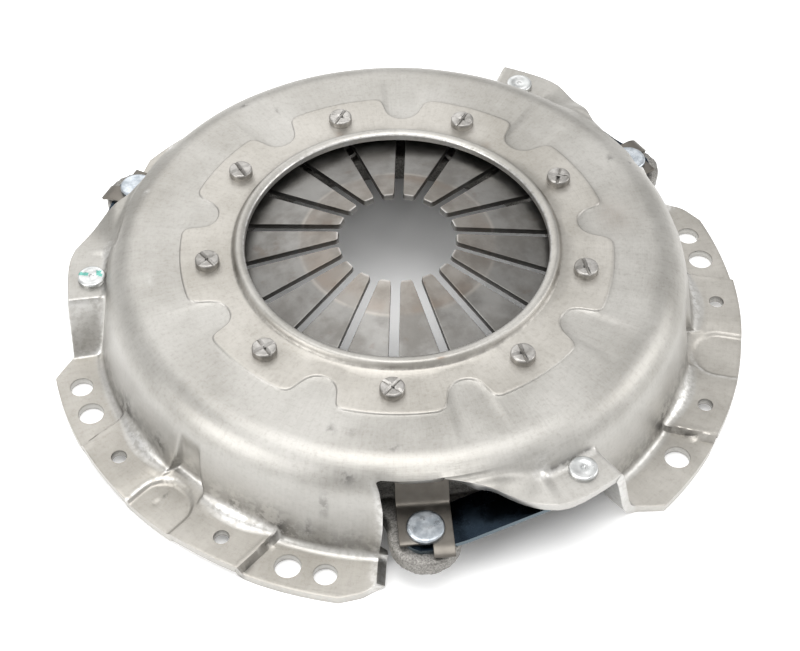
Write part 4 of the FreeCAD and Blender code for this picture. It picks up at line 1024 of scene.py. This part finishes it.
# The first stop paints a highlight along the fingers' rolled tips
tint = ramp(tree, share_out, (0.0, (0.62, 0.61, 0.59)), (0.03, (0.25, 0.235, 0.215)), (0.27, (0.225, 0.213, 0.197)),
            (0.33, (0.215, 0.21, 0.20)), (1.0, (0.15, 0.147, 0.14)))
blotch = ramp(tree, noise(tree, here, 55.0, 5.0, 0.65), (0.35, (0.66, 0.64, 0.62)), (0.6, 1.0))
tint = blend_colours(tree, 0.85, tint, blotch, "MULTIPLY")
bearing_band = ramp(tree, share_out, (0.03, 0.0), (0.12, 0.6), (0.26, 1.0), (0.31, 0.0))
heat_patches = ramp(tree, noise(tree, here, 32.0, 3.0, 0.6), (0.40, 0.0), (0.62, 0.4))
rubbed_arc = ramp(tree, share_out, (0.285, 0.0), (0.30, 1.0), (0.33, 0.0))
arc_patches = ramp(tree, noise(tree, here, 60.0, 3.0, 0.6), (0.40, 0.0), (0.60, 0.35))
stains = ramp(tree, noise(tree, here, 95.0, 4.0, 0.7), (0.60, 0.0), (0.72, 0.3))
for share, colour in ((times(tree, bearing_band, heat_patches), (0.19, 0.14, 0.105)),
                      (times(tree, rubbed_arc, arc_patches), (0.40, 0.37, 0.33)),
                      (stains, (0.12, 0.085, 0.065))):
    tint = blend_colours(tree, share, tint, colour)
rough = ramp(tree, noise(tree, here, 90.0, 4.0, 0.6), (0.3, 0.3), (0.7, 0.46))
complete([finger], spring_steel, tint, rough, (noise(tree, here, 900.0, 3.0, 0.6), 0.15, 0.0002))

# %% [markdown]
# Rivets. The nine fulcrum rivets have upset heads with a stamped cross. One is spun from a section
# with rounded corners, two crossed wedges are cut from its top, and a bevel rounds the cuts.

# %% Turned shapes from a section
def turned(name, section, at=(0, 0), sides=48):
    """Spins a section of (radius, level) points into a closed round piece."""
    put_down()
    bpy.ops.mesh.primitive_circle_add(vertices=3, radius=MM)
    piece = bpy.context.object
    piece.name = piece.data.name = name
    mesh = piece.data
    mesh.clear_geometry()
    mesh.from_pydata([(r * MM, 0, z * MM) for r, z in section], [(i, i + 1) for i in range(len(section) - 1)], [])
    whole(piece)
    bpy.ops.mesh.spin(steps=sides, angle=2 * math.pi, center=(0, 0, 0), axis=(0, 0, 1), use_auto_merge=True)
    bpy.ops.mesh.select_all(action="SELECT")
    bpy.ops.mesh.remove_doubles(threshold=SAME_POINT)
    bpy.ops.mesh.normals_make_consistent(inside=False)
    done()
    mesh.transform(Matrix.Translation((at[0] * MM, at[1] * MM, 0)))
    return piece


def rounded(section, corner_index, corner_radius, steps=4):
    """The section with one corner replaced by an arc."""
    before, corner, after = (np.array(section[i], float) for i in (corner_index - 1, corner_index, corner_index + 1))
    first = corner + (before - corner) / np.linalg.norm(before - corner) * corner_radius
    last = corner + (after - corner) / np.linalg.norm(after - corner) * corner_radius
    arc = []
    for share in np.linspace(0, 1, steps + 1):
        arc.append(tuple((1 - share) ** 2 * first + 2 * share * (1 - share) * corner + share ** 2 * last))
    return list(section[:corner_index]) + arc + list(section[corner_index + 1:])


# %% A fulcrum rivet
STATION_RADIUS = 75.0
FOOT_TOP = 28.48
FOOT_BOTTOM = 25.98
HEAD_TOP = LAND_TOP + 3.0
rivet_section = [(0, FOOT_BOTTOM), (7.3, FOOT_BOTTOM), (7.3, FOOT_TOP), (3.5, FOOT_TOP), (3.5, LAND_TOP),
                 (4.75, LAND_TOP), (4.75, HEAD_TOP), (0, HEAD_TOP + 0.1)]
rivet_section = rounded(rivet_section, 6, 0.9)
rivet_section = rounded(rivet_section, 1, 0.7)
master_rivet = turned("fulcrum_rivet_master", rivet_section)
WEDGE_RADIUS, WEDGE_LENGTH, WEDGE_ABOVE = 1.65, 14.0, 0.85
for turn in (45, 135):
    put_down()
    bpy.ops.mesh.primitive_cylinder_add(vertices=4, radius=WEDGE_RADIUS * MM, depth=WEDGE_LENGTH * MM,
                                        location=(0, 0, (HEAD_TOP + WEDGE_ABOVE) * MM), rotation=(0, math.pi / 2, 0))
    wedge = bpy.context.object
    bpy.ops.object.transform_apply(location=True, rotation=True, scale=True)
    wedge.data.transform(turned_by(turn))
    apply_modifier(master_rivet, "BOOLEAN", operation="DIFFERENCE", object=wedge, solver="EXACT")
    bpy.data.objects.remove(wedge)
apply_modifier(master_rivet, "BEVEL", width=0.3 * MM, segments=3, limit_method="ANGLE",
               angle_limit=math.radians(28), use_clamp_overlap=True)
smooth(master_rivet, 30)
print("a rivet has", len(master_rivet.data.polygons), "faces")

# %% Nine of them, each turned a little differently, as they come off the press
fulcrum_rivets = []
for index, twist in enumerate((0, 17, -12, 31, 8, 24, -20, 5, 38)):
    station = SEGMENT_MIDDLES[0] + BAY_PITCH * index
    x, y = polar(STATION_RADIUS, station)
    rivet = copy_of(master_rivet, "fulcrum_rivet_%d_head" % (index + 1),
                    Matrix.Translation((x * MM, y * MM, 0)) @ turned_by(station + twist))
    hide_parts("fulcrum_rivet_%d" % (index + 1))
    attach(rivet, "cover")
    fulcrum_rivets.append(rivet)
bpy.data.objects.remove(master_rivet)

# %% Satin rivet steel
rivet_steel, tree = new_finish("fulcrum_rivet_steel")
here = object_place(tree)
tone = ramp(tree, noise(tree, here, 160.0, 5.0, 0.65), (0.3, (0.24, 0.23, 0.215)), (0.7, (0.46, 0.445, 0.425)))
complete(fulcrum_rivets, rivet_steel, tone, 0.38, (noise(tree, here, 700.0, 4.0, 0.6), 0.25, 0.0003))

# %% [markdown]
# The strap rivets and the ear rivets are bright zinc. The first have a ring and a small dimple
# left by the tool, the second a nearly flat head. Both are turned from a section.

# %% Strap rivets on the shelves, and ear rivets on the plate
EAR_RADIUS = 121.6
SHELF_UNDER = 25.9
STRAP_TOP = 20.0
CLIP_TOP = 21.4
EAR_UNDER = 10.4
ear_angles = [middle + 46.2 for middle in SEGMENT_MIDDLES]
shelf_angles = [middle + 75.0 for middle in SEGMENT_MIDDLES]


def clamp_section(low, high, head, head_height, foot, foot_height, face):
    """A rivet through a stack of sheets; the face lists (radius, depth) across the head from its rim inwards."""
    top = high + head_height
    section = [(0, low - foot_height), (foot, low - foot_height), (foot, low), (4.0, low), (4.0, high), (head, high),
               (head, top)] + [(r, top - depth) for r, depth in face]
    section = rounded(section, 6, min(head_height * 0.5, 0.9))
    return rounded(section, 1, foot_height * 0.5)


RINGED_FACE = [(3.1, 0.0), (2.7, 0.18), (1.3, 0.12), (1.0, 0.15), (0.75, 0.5), (0, 0.6)]
PLAIN_FACE = [(5.6, 0.0), (3.0, 0.04), (1.2, 0.1), (0, 0.12)]


# %% The six zinc rivets
zinc_pieces = []
for index in range(3):
    low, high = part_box("strap_rivet_%d" % (index + 1))
    section = clamp_section(low.z / MM + 1.8, SHELF_TOP, 5.5, 2.0, 5.5, 1.8, RINGED_FACE)
    piece = turned("strap_rivet_%d_head" % (index + 1), section, polar(EAR_RADIUS, shelf_angles[index]))
    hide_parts("strap_rivet_%d" % (index + 1))
    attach(piece, "cover")
    zinc_pieces.append(piece)
for index in range(3):
    low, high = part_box("ear_rivet_%d" % (index + 1))
    section = clamp_section(EAR_UNDER, CLIP_TOP, 7.0, 2.0, 6.3, EAR_UNDER - low.z / MM, PLAIN_FACE)
    piece = turned("ear_rivet_%d_head" % (index + 1), section, polar(EAR_RADIUS, ear_angles[index]))
    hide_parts("ear_rivet_%d" % (index + 1))
    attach(piece, "pressure_plate")
    zinc_pieces.append(piece)
for piece in zinc_pieces:
    smooth(piece, 30)
print("zinc rivets:", [piece.name for piece in zinc_pieces])

# %% Zinc: bluish and mottled on the ears, silvery on the shelves
zinc, tree = new_finish("zinc_rivet_steel")
here = object_place(tree)
height_here = add(tree, "SeparateXYZ", {"Vector": here}).outputs["Z"]
on_shelf = span(tree, height_here, 0.0240, 0.0290)
mottle = noise(tree, here, 260.0, 5.0, 0.6)
ear_tone = ramp(tree, mottle, (0.35, (0.30, 0.33, 0.36)), (0.65, (0.52, 0.55, 0.58)))
shelf_tone = ramp(tree, mottle, (0.35, (0.46, 0.47, 0.465)), (0.65, (0.60, 0.605, 0.60)))
tone = blend_colours(tree, on_shelf, ear_tone, shelf_tone)

# %% A dab of teal paint on one of the shelf rivets, in three ragged strokes
dab_x, dab_y = polar(EAR_RADIUS, shelf_angles[0])
beside_dab = add(tree, "Mapping", {"Vector": here, "Location": (dab_x * MM, dab_y * MM, 0),
                                   "Rotation": (0, 0, math.radians(-18.9))}, vector_type="TEXTURE").outputs["Vector"]
RAGGED = 0.0012
ragged = add(tree, "TexNoise", {"Vector": here, "Scale": 900.0, "Detail": 2.0}).outputs["Color"]
ragged = vectors(tree, "MULTIPLY", ragged, (RAGGED, RAGGED, 0))
beside_dab = vectors(tree, "ADD", vectors(tree, "ADD", beside_dab, ragged), (-RAGGED / 2, -RAGGED / 2, 0))
beside_dab = add(tree, "SeparateXYZ", {"Vector": beside_dab})


def stroke(along_middle, along_half, across_middle, across_half):
    """A short brush stroke on the rivet's head."""
    inside = [add(tree, "Math", {0: beside_dab.outputs[axis], 1: middle * MM, 2: half * MM}, operation="COMPARE")
              for axis, middle, half in (("X", along_middle, along_half), ("Y", across_middle, across_half))]
    return times(tree, inside[0].outputs[0], inside[1].outputs[0])


painted = combine(tree, "MAXIMUM", stroke(-3.3, 1.9, 0.9, 0.75), stroke(2.7, 0.9, 1.5, 1.3),
                  stroke(3.6, 0.8, 0.3, 0.8))
tone = blend_colours(tree, times(tree, painted, 0.75), tone, (0.03, 0.36, 0.29))
rough = ramp(tree, noise(tree, here, 320.0, 4.0, 0.6), (0.3, 0.24), (0.7, 0.42))
complete(zinc_pieces, zinc, tone, rough, (noise(tree, here, 500.0, 3.0, 0.6), 0.15, 0.0003))

# %% [markdown]
# The drive straps are flat leaves of blued spring steel, two to a pack. They run from the shelf
# down to the plate's ear, and bend in a flat S as the plate lifts. Each leaf is a strip that slopes
# from the ear up to the shelf, with many cross lines along its slope.

# %% One leaf
HALF_SPAN = 30.24
STRAP_WIDTH = 17.6
LEAF_GAUGE = 1.0
LEAF_BEND = 17.24
LEAF_END, LEAF_TAIL = HALF_SPAN + 7.4, HALF_SPAN + 8.6
EAR_TOP = 18.0
STRAP_CIRCLE = 117.78
STRAP_TURN = 60.6
LEAF_CORNER = 8.0
LAYER_NAMES = ("lower", "upper")


def leaf_half_width(along_leaf):
    """Half the width of a leaf, whose ends are rounded at the corners."""
    to_end = (LEAF_END - along_leaf) if along_leaf > 0 else (along_leaf + LEAF_TAIL)
    if to_end >= LEAF_CORNER:
        return STRAP_WIDTH / 2
    return STRAP_WIDTH / 2 - LEAF_CORNER + math.sqrt(max(LEAF_CORNER ** 2 - (LEAF_CORNER - to_end) ** 2, 0))


def make_leaf(layer):
    """One leaf, lying along X, with its foot on the ear and its head under the shelf."""
    low = EAR_TOP + layer * LEAF_GAUGE + LEAF_GAUGE / 2
    high = SHELF_UNDER - (2 - layer) * LEAF_GAUGE + LEAF_GAUGE / 2
    stops = np.concatenate([-LEAF_TAIL + np.array([0, 0.3, 1, 2.2, 4, 8]),
                            np.linspace(-LEAF_BEND - 3, LEAF_BEND + 3, 33),
                            LEAF_END - np.array([8, 4, 2.2, 1, 0.3, 0])])
    shares = np.linspace(-1, 1, 9)
    points = []
    for at in stops:
        lift = low + (high - low) * np.clip((at + LEAF_BEND) / (2 * LEAF_BEND), 0, 1)
        points += [(at, share * leaf_half_width(at), lift) for share in shares]
    leaf = pressed_grid("leaf_master", len(stops), len(shares), np.array(points))
    mark(leaf, "sheared", np.tile(np.abs(shares) > 0.99, len(stops)))
    thicken(leaf, LEAF_GAUGE, 0.12, 1)
    if sum(face.normal.z * face.area * (face.center.z > (low + high) / 2 * MM) for face in leaf.data.polygons) < 0:
        turn_over(leaf)
    smooth(leaf, 30)
    return leaf


# %% Six leaves, copied round to the three straps
leaf_pieces = []
master_leaves = [make_leaf(layer) for layer in range(2)]
for segment in range(3):
    middle = SEGMENT_MIDDLES[segment] + STRAP_TURN
    x, y = polar(STRAP_CIRCLE, middle)
    for layer in range(2):
        leaf = copy_of(master_leaves[layer], "drive_strap_%d_%s_leaf" % (segment + 1, LAYER_NAMES[layer]),
                       Matrix.Translation((x * MM, y * MM, 0)) @ turned_by(middle + 90))
        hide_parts("drive_strap_%d_%s" % (segment + 1, LAYER_NAMES[layer]))
        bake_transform(leaf)
        leaf_pieces.append(leaf)
for master_leaf in master_leaves:
    bpy.data.objects.remove(master_leaf)
print("strap leaves:", len(leaf_pieces))

# %% Blued strap steel, nearly black, with bright sheared edges
blued, tree = new_finish("blued_strap_steel")
here = object_place(tree)
tone = ramp(tree, noise(tree, here, 60.0, 4.0, 0.6), (0.3, (0.008, 0.012, 0.018)), (0.7, (0.020, 0.030, 0.042)))
sheared = ramp(tree, attribute(tree, "sheared"), (0.94, 0.0), (1.0, 1.0))
tone = blend_colours(tree, sheared, tone, (0.11, 0.14, 0.16))
complete(leaf_pieces, blued, tone, ramp(tree, noise(tree, here, 150.0, 3.0, 0.6), (0.3, 0.2), (0.7, 0.34)))

# %% [markdown]
# A retracting clip is a strip of sheet bent over the spring's rim, so that the spring pulls the
# plate back when it is released. A grid is laid along the bent line, and gets its thickness.

# %% The bent line of a clip, in the plane through the axis
CLIP_GAUGE = 1.4
CLIP_HALF = 9.9
CLIP_CLEAR = 0.3
over_spring = (SPRING_GAUGE / 2 + CLIP_CLEAR) / math.cos(math.radians(11.5)) + CLIP_GAUGE / 2
lip_at = (96.2, spring_level(96.2) + over_spring)
bend_at = (103.4, spring_level(103.4) + over_spring)
foot_at = (bend_at[0] + (bend_at[1] - STRAP_TOP - CLIP_GAUGE / 2) / math.tan(math.radians(58)),
           STRAP_TOP + CLIP_GAUGE / 2)
clip_line = [lip_at, bend_at, foot_at, (127.95, STRAP_TOP + CLIP_GAUGE / 2)]
clip_line = rounded(clip_line, 2, 2.6, 5)
clip_line = rounded(clip_line, 1, 2.0, 5)
print("the clip's bends are at radius", round(bend_at[0], 1), "and", round(foot_at[0], 1), "mm")

# %% Points along it
dense = []
for (r0, z0), (r1, z1) in zip(clip_line[:-1], clip_line[1:]):
    pieces_here = max(1, int(math.hypot(r1 - r0, z1 - z0) / 1.6))
    dense += [(r0 + (r1 - r0) * k / pieces_here, z0 + (z1 - z0) * k / pieces_here) for k in range(pieces_here)]
dense.append(clip_line[-1])

# %% One clip, with a tab on one side of its outer end
TAB_SIDE = 2.1
tab_line = [(128.0, STRAP_TOP + CLIP_GAUGE / 2), (129.2, 20.7), (130.5, 20.5), (131.9, 19.95), (133.1, 19.3)]
across_clip = [-CLIP_HALF, -9.6, -7.4, -5.0, -2.5, 0.0, 2.0, 2.3, 3.4, 4.6, 6.6, 9.6, CLIP_HALF]
line = dense + tab_line
points = np.array([(r, across, z) for r, z in line for across in across_clip])
master_clip = pressed_grid("clip_master", len(line), len(across_clip), points)
rows_here = marks(master_clip, "row", "INT")
beside_tab = [min(rows_here[v] for v in face.vertices) >= len(dense) - 1
              and sum(points[v][1] for v in face.vertices) / 4 < TAB_SIDE for face in master_clip.data.polygons]
remove_faces(master_clip, beside_tab)
whole(master_clip)
bpy.ops.mesh.delete_loose()
done()
thicken(master_clip, CLIP_GAUGE, 0.2, use_even_offset=True)
smooth(master_clip, 35)

# %% Three clips
clip_pieces = []
for index, ear_angle in enumerate(ear_angles):
    clip = copy_of(master_clip, "retracting_clip_%d_strip" % (index + 1), turned_by(ear_angle))
    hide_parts("retracting_clip_%d" % (index + 1))
    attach(clip, "pressure_plate")
    clip_pieces.append(clip)
bpy.data.objects.remove(master_clip)
print("faces in a clip:", len(clip.data.polygons))

# %% Brown-grey clip steel
clip_steel, tree = new_finish("clip_steel")
here = object_place(tree)
tone = ramp(tree, noise(tree, here, 45.0, 4.0, 0.6), (0.3, (0.115, 0.105, 0.092)), (0.7, (0.19, 0.175, 0.155)))
rough = ramp(tree, noise(tree, here, 120.0, 3.0, 0.6), (0.3, 0.34), (0.7, 0.46))
complete(clip_pieces, clip_steel, tone, rough, (noise(tree, here, 900.0, 3.0, 0.6), 0.1, 0.0002))

# %% [markdown]
# The pressure plate is a sand casting: thick, with round edges and a rough skin. A copy of its
# solid is remeshed evenly, smoothed, and roughened, which gives every edge the soft look of cast
# iron at once.

# %% The casting
plate = frame["nodes"]["pressure_plate"].copy()
plate.data = plate.data.copy()
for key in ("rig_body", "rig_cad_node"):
    if key in plate:
        del plate[key]
plate.parent = None
plate.name = plate.data.name = "pressure_plate_casting"
bpy.context.collection.objects.link(plate)
whole(plate)
bpy.ops.mesh.remove_doubles(threshold=SAME_POINT)
done()
VOXEL = 1.25
apply_modifier(plate, "REMESH", mode="VOXEL", voxel_size=VOXEL * MM, adaptivity=0.0)
apply_modifier(plate, "SMOOTH", factor=0.5, iterations=4)
rough_skin = bpy.data.textures.new("cast_skin", "CLOUDS")
rough_skin.noise_scale = 0.0028
rough_skin.noise_depth = 2
plate_points = points_of(plate)
weight = plate.vertex_groups.new(name="cast_skin")
raised = rise(plate_points[:, 2], 8.0, 3.0) * rise(np.hypot(plate_points[:, 0], plate_points[:, 1]), 104, 5)
for index, amount in enumerate(raised):
    if amount > 0.01:
        weight.add([index], float(amount), "REPLACE")
apply_modifier(plate, "DISPLACE", texture=rough_skin, texture_coords="LOCAL", strength=0.5 * MM, mid_level=0.5,
               vertex_group="cast_skin")
smooth(plate, 60)
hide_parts("pressure_plate")
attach(plate, "pressure_plate")
print("casting faces:", len(plate.data.polygons))

# %% Cast iron
iron, tree = new_finish("cast_iron")
here = object_place(tree)
tone = ramp(tree, noise(tree, here, 1400.0, 6.0, 0.7), (0.36, (0.16, 0.153, 0.143)), (0.64, (0.35, 0.337, 0.315)))
rough = ramp(tree, noise(tree, here, 500.0, 4.0, 0.6), (0.3, 0.4), (0.7, 0.6))
complete([plate], iron, tone, rough, (noise(tree, here, 1000.0, 5.0, 0.7), 0.55, 0.0005), metallic=0.9)

# %% The fulcrum rings keep their solids and get a wire finish
wire, tree = new_finish("ring_wire")
here = object_place(tree)
tone = ramp(tree, noise(tree, here, 200.0, 4.0, 0.6), (0.3, (0.22, 0.21, 0.20)), (0.7, (0.40, 0.39, 0.37)))
rings = [frame["nodes"][name] for name in ("fulcrum_ring_upper", "fulcrum_ring_lower")]
complete(rings, wire, tone, 0.35, (noise(tree, here, 800.0, 3.0, 0.6), 0.1, 0.0002))

# %% [markdown]
# The stage: a white table, soft light from behind, above and the left, and a camera where the
# photographer's was, fitted from the round bore and the rivets.

# %% Table
put_down()
bpy.ops.mesh.primitive_plane_add(size=6, location=(0, 0, -0.0001))
table = bpy.context.object
table.name = "table"
paper, tree = new_finish("white_table")
shader = tree.nodes["Principled BSDF"]
shader.inputs["Base Color"].default_value = (0.92, 0.92, 0.915, 1)
shader.inputs["Roughness"].default_value = 0.9
shader.inputs["Specular IOR Level"].default_value = 0.1
rays = add(tree, "LightPath").outputs
seen = combine(tree, "MAXIMUM", rays["Is Camera Ray"], rays["Is Glossy Ray"], rays["Is Transmission Ray"])
apart, flat_vector, from_axis = distance_from_axis(tree, object_place(tree))
# The table glows for camera and glossy rays so that it reads white. This painted light is held low within 116 mm of
# the axis and is full beyond 142 mm, so that under the part and in its holes the table keeps its shade.
clear_of_part = span(tree, from_axis, 0.116, 0.142, 0.04, 0.45)
glow = add(tree, "Emission", {"Color": (1, 1, 1, 1), "Strength": times(tree, seen, clear_of_part)})
both = add(tree, "AddShader", {0: shader.outputs["BSDF"], 1: glow.outputs["Emission"]})
feed(tree, tree.nodes["Material Output"].inputs["Surface"], both.outputs["Shader"])
table.data.materials.append(paper)

# %% Sky: white where it is seen, a little grey as a light
world = bpy.data.worlds.new("studio")
bpy.context.scene.world = world
world.use_nodes = True
tree = world.node_tree
background = tree.nodes["Background"]
background.inputs["Color"].default_value = (1, 1, 1, 1)
rays = add(tree, "LightPath").outputs
seen = combine(tree, "MAXIMUM", rays["Is Camera Ray"], rays["Is Transmission Ray"])
in_metal = times(tree, rays["Is Glossy Ray"], 0.35)
feed(tree, background.inputs["Strength"], combine(tree, "ADD", span(tree, seen, 0.0, 1.0, 0.5, 1.0), in_metal))

# %% Lamps
def soft_lamp(name, place, size, power):
    lamp = bpy.data.lights.new(name, "AREA")
    lamp.shape = "RECTANGLE"
    lamp.size, lamp.size_y = size
    lamp.energy = power
    holder = bpy.data.objects.new(name, lamp)
    bpy.context.collection.objects.link(holder)
    holder.location = place
    holder.rotation_euler = (-Vector(place)).to_track_quat("-Z", "Y").to_euler()

soft_lamp("overhead", (-0.05, -0.05, 1.1), (0.9, 0.7), 7.0)
soft_lamp("behind", (0.0, 1.0, 0.8), (1.2, 0.6), 3.0)
soft_lamp("left_window", (-1.0, -0.3, 0.55), (0.6, 0.6), 5.0)
soft_lamp("right_fill", (1.0, -0.3, 0.55), (0.6, 0.6), 3.2)

# %% Camera
CAMERA_FROM_BEAD = 0.67625
BEAD_LEVEL = 45.4
azimuth, elevation = math.radians(-18.861), math.radians(46.081)
back = Vector((math.sin(azimuth) * math.cos(elevation), -math.cos(azimuth) * math.cos(elevation),
               math.sin(elevation)))
camera = bpy.data.objects.new("camera", bpy.data.cameras.new("camera"))
bpy.context.collection.objects.link(camera)
camera.location = Vector((0, 0, BEAD_LEVEL * MM)) + back * CAMERA_FROM_BEAD
pan, tilt, roll = math.radians(-19.026), math.radians(40.992), math.radians(0.449)
aim = Matrix.Rotation(pan, 3, "Z") @ Matrix.Rotation(tilt, 3, "X") @ Matrix.Rotation(roll, 3, "Z")
camera.rotation_euler = aim.to_euler()
camera.data.sensor_width = 36.0
camera.data.lens = 77.141
camera.data.clip_start = 0.01
camera.data.clip_end = 20.0
bpy.context.scene.camera = camera
bpy.context.scene.view_settings.view_transform = "Standard"
